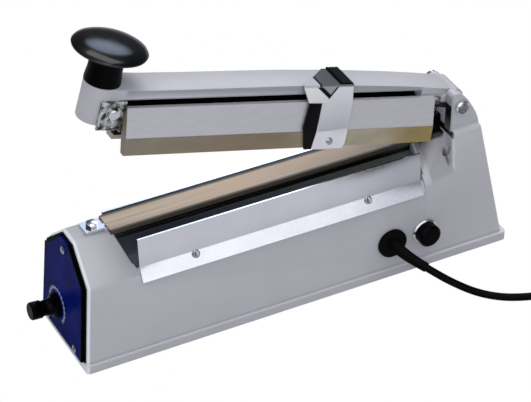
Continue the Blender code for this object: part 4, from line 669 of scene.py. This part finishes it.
def dress(node, finish, bevel):
    """Clean copy of a CAD node with smooth shading and softened edges, in its place."""
    source = frame["nodes"][node]
    bm = bmesh.new()
    bm.from_mesh(source.data)
    bmesh.ops.remove_doubles(bm, verts=bm.verts, dist=WELD)
    bmesh.ops.dissolve_limit(bm, angle_limit=FLAT_ANGLE, verts=bm.verts, edges=bm.edges)
    mesh = bpy.data.meshes.new("look_" + node)
    bm.to_mesh(mesh)
    bm.free()
    for face in mesh.polygons:
        face.use_smooth = True
    mesh.set_sharp_from_angle(angle=SHARP_ANGLE)
    obj = add_piece("look_" + node, mesh, source["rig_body"], finish, (node,))
    if bevel:
        soften = obj.modifiers.new("soften", "BEVEL")
        soften.width = bevel
        soften.segments = 2
        soften.limit_method = "ANGLE"
        soften.angle_limit = SHARP_ANGLE
        soften.harden_normals = True
    return obj


def darken_stem(piece, finish):
    """Duller finish on the knob below its cap."""
    piece.data.materials.append(finish)
    for face in piece.data.polygons:
        if (face.center - ARM_AXIS).dot(ARM_UP) < KNOB_STEM_TOP_W:
            face.material_index = 1


# Cord

def smooth_through(points, count):
    """Points of a smooth curve through the given ones, as in the part's source."""
    ends = [points[0] * 2 - points[1], *points, points[-1] * 2 - points[-2]]
    made = []
    for i in range(1, len(ends) - 2):
        before, start, stop, after = ends[i - 1:i + 3]
        for k in range(count):
            t = k / count
            made.append(0.5 * (
                start * 2 + (stop - before) * t
                + (before * 2 - start * 5 + stop * 4 - after) * t ** 2
                + (start * 3 - before - stop * 3 + after) * t ** 3
            ))
    made.append(points[-1])
    return made


def coil_points():
    """Turns of the coil: inward in a lower layer, then outward in an upper one."""
    pitch = CORD_RADIUS * 2 + COIL_GAP
    low = CORD_RADIUS + TOUCH_GAP
    outer = COIL_RADIUS + pitch * LAYER_TURNS / 2
    climb_from = LAYER_TURNS - CLIMB_TURNS / 2
    points = []
    for k in range(int(2 * LAYER_TURNS * LOOP_POINTS) + 1):
        turns = k / LOOP_POINTS
        inward = min(turns, 2 * LAYER_TURNS - turns)
        radius = outer - pitch * inward
        climb = min(max((turns - climb_from) / CLIMB_TURNS, 0), 1)
        angle = COIL_START_ANGLE - 2 * math.pi * turns
        points.append(COIL_MIDDLE + Vector((
            radius * math.cos(angle), radius * math.sin(angle), low + pitch * climb
        )))
    return points


def cord_points():
    """Middle line of the cord from the gland through the coil to the plug."""
    coil = coil_points()
    route = [WALL_POINT, WALL_POINT + WALL_OUT * WALL_REACH]
    route += [Vector(point) - ORIGIN for point in CORD_ROUTE]
    route.append(coil[0])
    free = smooth_through(route, ROUTE_STEPS)[POINTS_IN_WALL:]
    leave = (coil[-1] - coil[-2]).normalized() * CORD_RADIUS * 2
    return free[:-1] + coil + [coil[-1] + leave, coil[-1] + leave * 2]


def make_cord(finish):
    points = cord_points()
    curve = bpy.data.curves.new("mains_cord", "CURVE")
    curve.dimensions = "3D"
    curve.bevel_depth = CORD_RADIUS
    curve.bevel_resolution = 4
    curve.use_fill_caps = True
    spline = curve.splines.new("POLY")
    spline.points.add(len(points) - 1)
    for point, place in zip(spline.points, points):
        point.co = (*place, 1)
    spline.use_smooth = True
    cord = add_piece("mains_cord", curve, "housing", finish, ("power_cord", "cord_coil"))
    length = sum((b - a).length for a, b in zip(points, points[1:]))
    return cord, points[0], length


# Light and floor

def make_lamp(name, place, size, power):
    data = bpy.data.lights.new(name, "AREA")
    data.shape = "RECTANGLE"
    data.size, data.size_y = size
    data.energy = power
    lamp = bpy.data.objects.new(name, data)
    bpy.context.collection.objects.link(lamp)
    lamp.location = place
    lamp.rotation_mode = "QUATERNION"
    lamp.rotation_quaternion = (Vector(place) - Vector(LAMP_AIM)).to_track_quat("Z", "Y")


def make_floor():
    """Pale floor that the camera sees as the photo's white ground."""
    bm = bmesh.new()
    bmesh.ops.create_grid(bm, x_segments=1, y_segments=1, size=FLOOR_REACH)
    mesh = bpy.data.meshes.new("floor")
    bm.to_mesh(mesh)
    bm.free()
    floor = bpy.data.objects.new("floor", mesh)
    bpy.context.collection.objects.link(floor)
    floor.location.z = -FLOOR_DROP
    nodes = Nodes("floor")
    rays = nodes.add("ShaderNodeLightPath")
    seen = nodes.add("ShaderNodeEmission")
    seen.inputs["Strength"].default_value = 1.0
    pale = nodes.add("ShaderNodeBsdfDiffuse")
    pale.inputs["Color"].default_value = (FLOOR_SHADE, FLOOR_SHADE, FLOOR_SHADE, 1)
    both = nodes.add("ShaderNodeMixShader")
    nodes.put(both.inputs["Fac"], rays.outputs["Is Camera Ray"])
    nodes.put(both.inputs[1], pale.outputs[0])
    nodes.put(both.inputs[2], seen.outputs[0])
    nodes.put(nodes.output.inputs["Surface"], both.outputs[0])
    mesh.materials.append(nodes.material)


def make_world():
    """Even soft light, a studio with light and dark cards for reflections, white behind."""
    world = bpy.data.worlds.new("studio")
    bpy.context.scene.world = world
    world.use_nodes = True
    tree = world.node_tree
    tree.nodes.clear()
    output = tree.nodes.new("ShaderNodeOutputWorld")
    rays = tree.nodes.new("ShaderNodeLightPath")
    where = tree.nodes.new("ShaderNodeTexCoord").outputs["Generated"]

    def ground(colour, strength):
        node = tree.nodes.new("ShaderNodeBackground")
        node.inputs["Color"].default_value = (*colour, 1)
        node.inputs["Strength"].default_value = strength
        return node.outputs[0]

    def blended(share, first, second):
        node = tree.nodes.new("ShaderNodeMixShader")
        tree.links.new(share, node.inputs["Fac"])
        tree.links.new(first, node.inputs[1])
        tree.links.new(second, node.inputs[2])
        return node.outputs[0]

    def card(direction, inner, outer):
        """1 within an angle of a direction, 0 beyond a wider one."""
        dot = tree.nodes.new("ShaderNodeVectorMath")
        dot.operation = "DOT_PRODUCT"
        tree.links.new(where, dot.inputs[0])
        dot.inputs[1].default_value = Vector(direction).normalized()
        node = tree.nodes.new("ShaderNodeMapRange")
        node.interpolation_type = "SMOOTHSTEP"
        tree.links.new(dot.outputs["Value"], node.inputs["Value"])
        node.inputs["From Min"].default_value = math.cos(math.radians(outer))
        node.inputs["From Max"].default_value = math.cos(math.radians(inner))
        return node.outputs["Result"]

    studio = ground(*STUDIO_LIGHT)
    for direction, inner, outer, colour, strength in STUDIO_CARDS:
        studio = blended(card(direction, inner, outer), studio, ground(colour, strength))
    lit = blended(rays.outputs["Is Glossy Ray"], ground(*SOFT_LIGHT), studio)
    white = ground((1, 1, 1), 1.0)
    tree.links.new(blended(rays.outputs["Is Camera Ray"], lit, white), output.inputs["Surface"])


make_camera()
make_world()
make_floor()
for lamp_facts in LAMPS:
    make_lamp(*lamp_facts)

LIGHT_GREY = shade(196, 195, 200)
BRUSHED = (1, 30, 30)
FINISHES = {
    "grey_paint": paint_finish("grey_paint", LIGHT_GREY),
    "black_rubber": plastic_finish("black_rubber", (0.0015, 0.0015, 0.0015), 0.6, gloss=0.06),
    "black_plastic": plastic_finish("black_plastic", (0.0008, 0.0008, 0.001), 0.30, gloss=0.05),
    "blue_panel": panel_finish("blue_panel", shade(12, 26, 116), shade(3, 12, 74)),
    "polished_steel": metal_finish("polished_steel", (0.72, 0.72, 0.77), 0.16),
    "polished_aluminium": metal_finish(
        "polished_aluminium", (0.66, 0.65, 0.69), 0.34, BRUSHED, 300, metalness=0.55
    ),
    # The jaw's aluminium is painted near black by its marks, as painted shade
    "aluminium": metal_finish(
        "aluminium", (0.3, 0.3, 0.31), 0.35, BRUSHED, 300, marks=jaw_marks
    ),
    "zinc_steel": metal_finish("zinc_steel", (0.42, 0.42, 0.44), 0.25),
    # The third colour of the jaw's cloth is the painted highlight of its pale stripes
    "tan_tape": strip_finish("tan_tape", shade(186, 164, 136), shade(222, 194, 160),
                             shade(232, 214, 206), shade(66, 60, 52)),
    "white_plastic": plastic_finish("white_plastic", (0.55, 0.54, 0.52), 0.4),
    "silicone": plastic_finish("silicone", (0.5, 0.44, 0.36), 0.6),
    "copper": metal_finish("copper", (0.6, 0.3, 0.15), 0.3),
    "board": plastic_finish("board", (0.02, 0.12, 0.05), 0.5),
    "clear_glass": glass_finish("clear_glass", (0.85, 0.9, 0.92)),
}
NODE_FINISHES = {
    "casing": paint_finish("casing_paint", LIGHT_GREY, marks=casing_marks),
    "arm": paint_finish("arm_paint", LIGHT_GREY, marks=arm_marks),
    "arm_knob": plastic_finish(
        "knob_gloss", (0.0008, 0.0008, 0.001), 0.15, depth=0.02, gloss=0.45
    ),
    "cover_near": metal_finish("cover_chrome", (0.79, 0.78, 0.84), 0.16, marks=leaf_marks),
    "cutter_carriage": metal_finish("carriage_chrome", (0.90, 0.90, 0.95), 0.16,
                                    marks=wing_marks, metalness=past_strap),
    "front_bracket": metal_finish("nose_bracket", (0.70, 0.71, 0.72), 0.22, marks=mottled),
    # The last colour of the rail's tape is its painted gold highlight
    "rail_tape": tape_finish("rail_tape", shade(136, 127, 109), shade(130, 115, 92),
                             shade(172, 162, 140), shade(150, 130, 80)),
}

cord, cord_exit, cord_length = make_cord(FINISHES["black_plastic"])
for node in sorted(frame["nodes"]):
    if node in ("power_cord", "cord_coil"):
        continue
    finish = NODE_FINISHES.get(node) or FINISHES[slot_of(node)]
    piece = dress(node, finish, BEVELS.get(node, 0.0))
    if node == "arm_knob":
        darken_stem(piece, FINISHES["black_plastic"])
    if node == "return_spring":
        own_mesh(piece)

bpy.context.scene.view_settings.view_transform = "Standard"
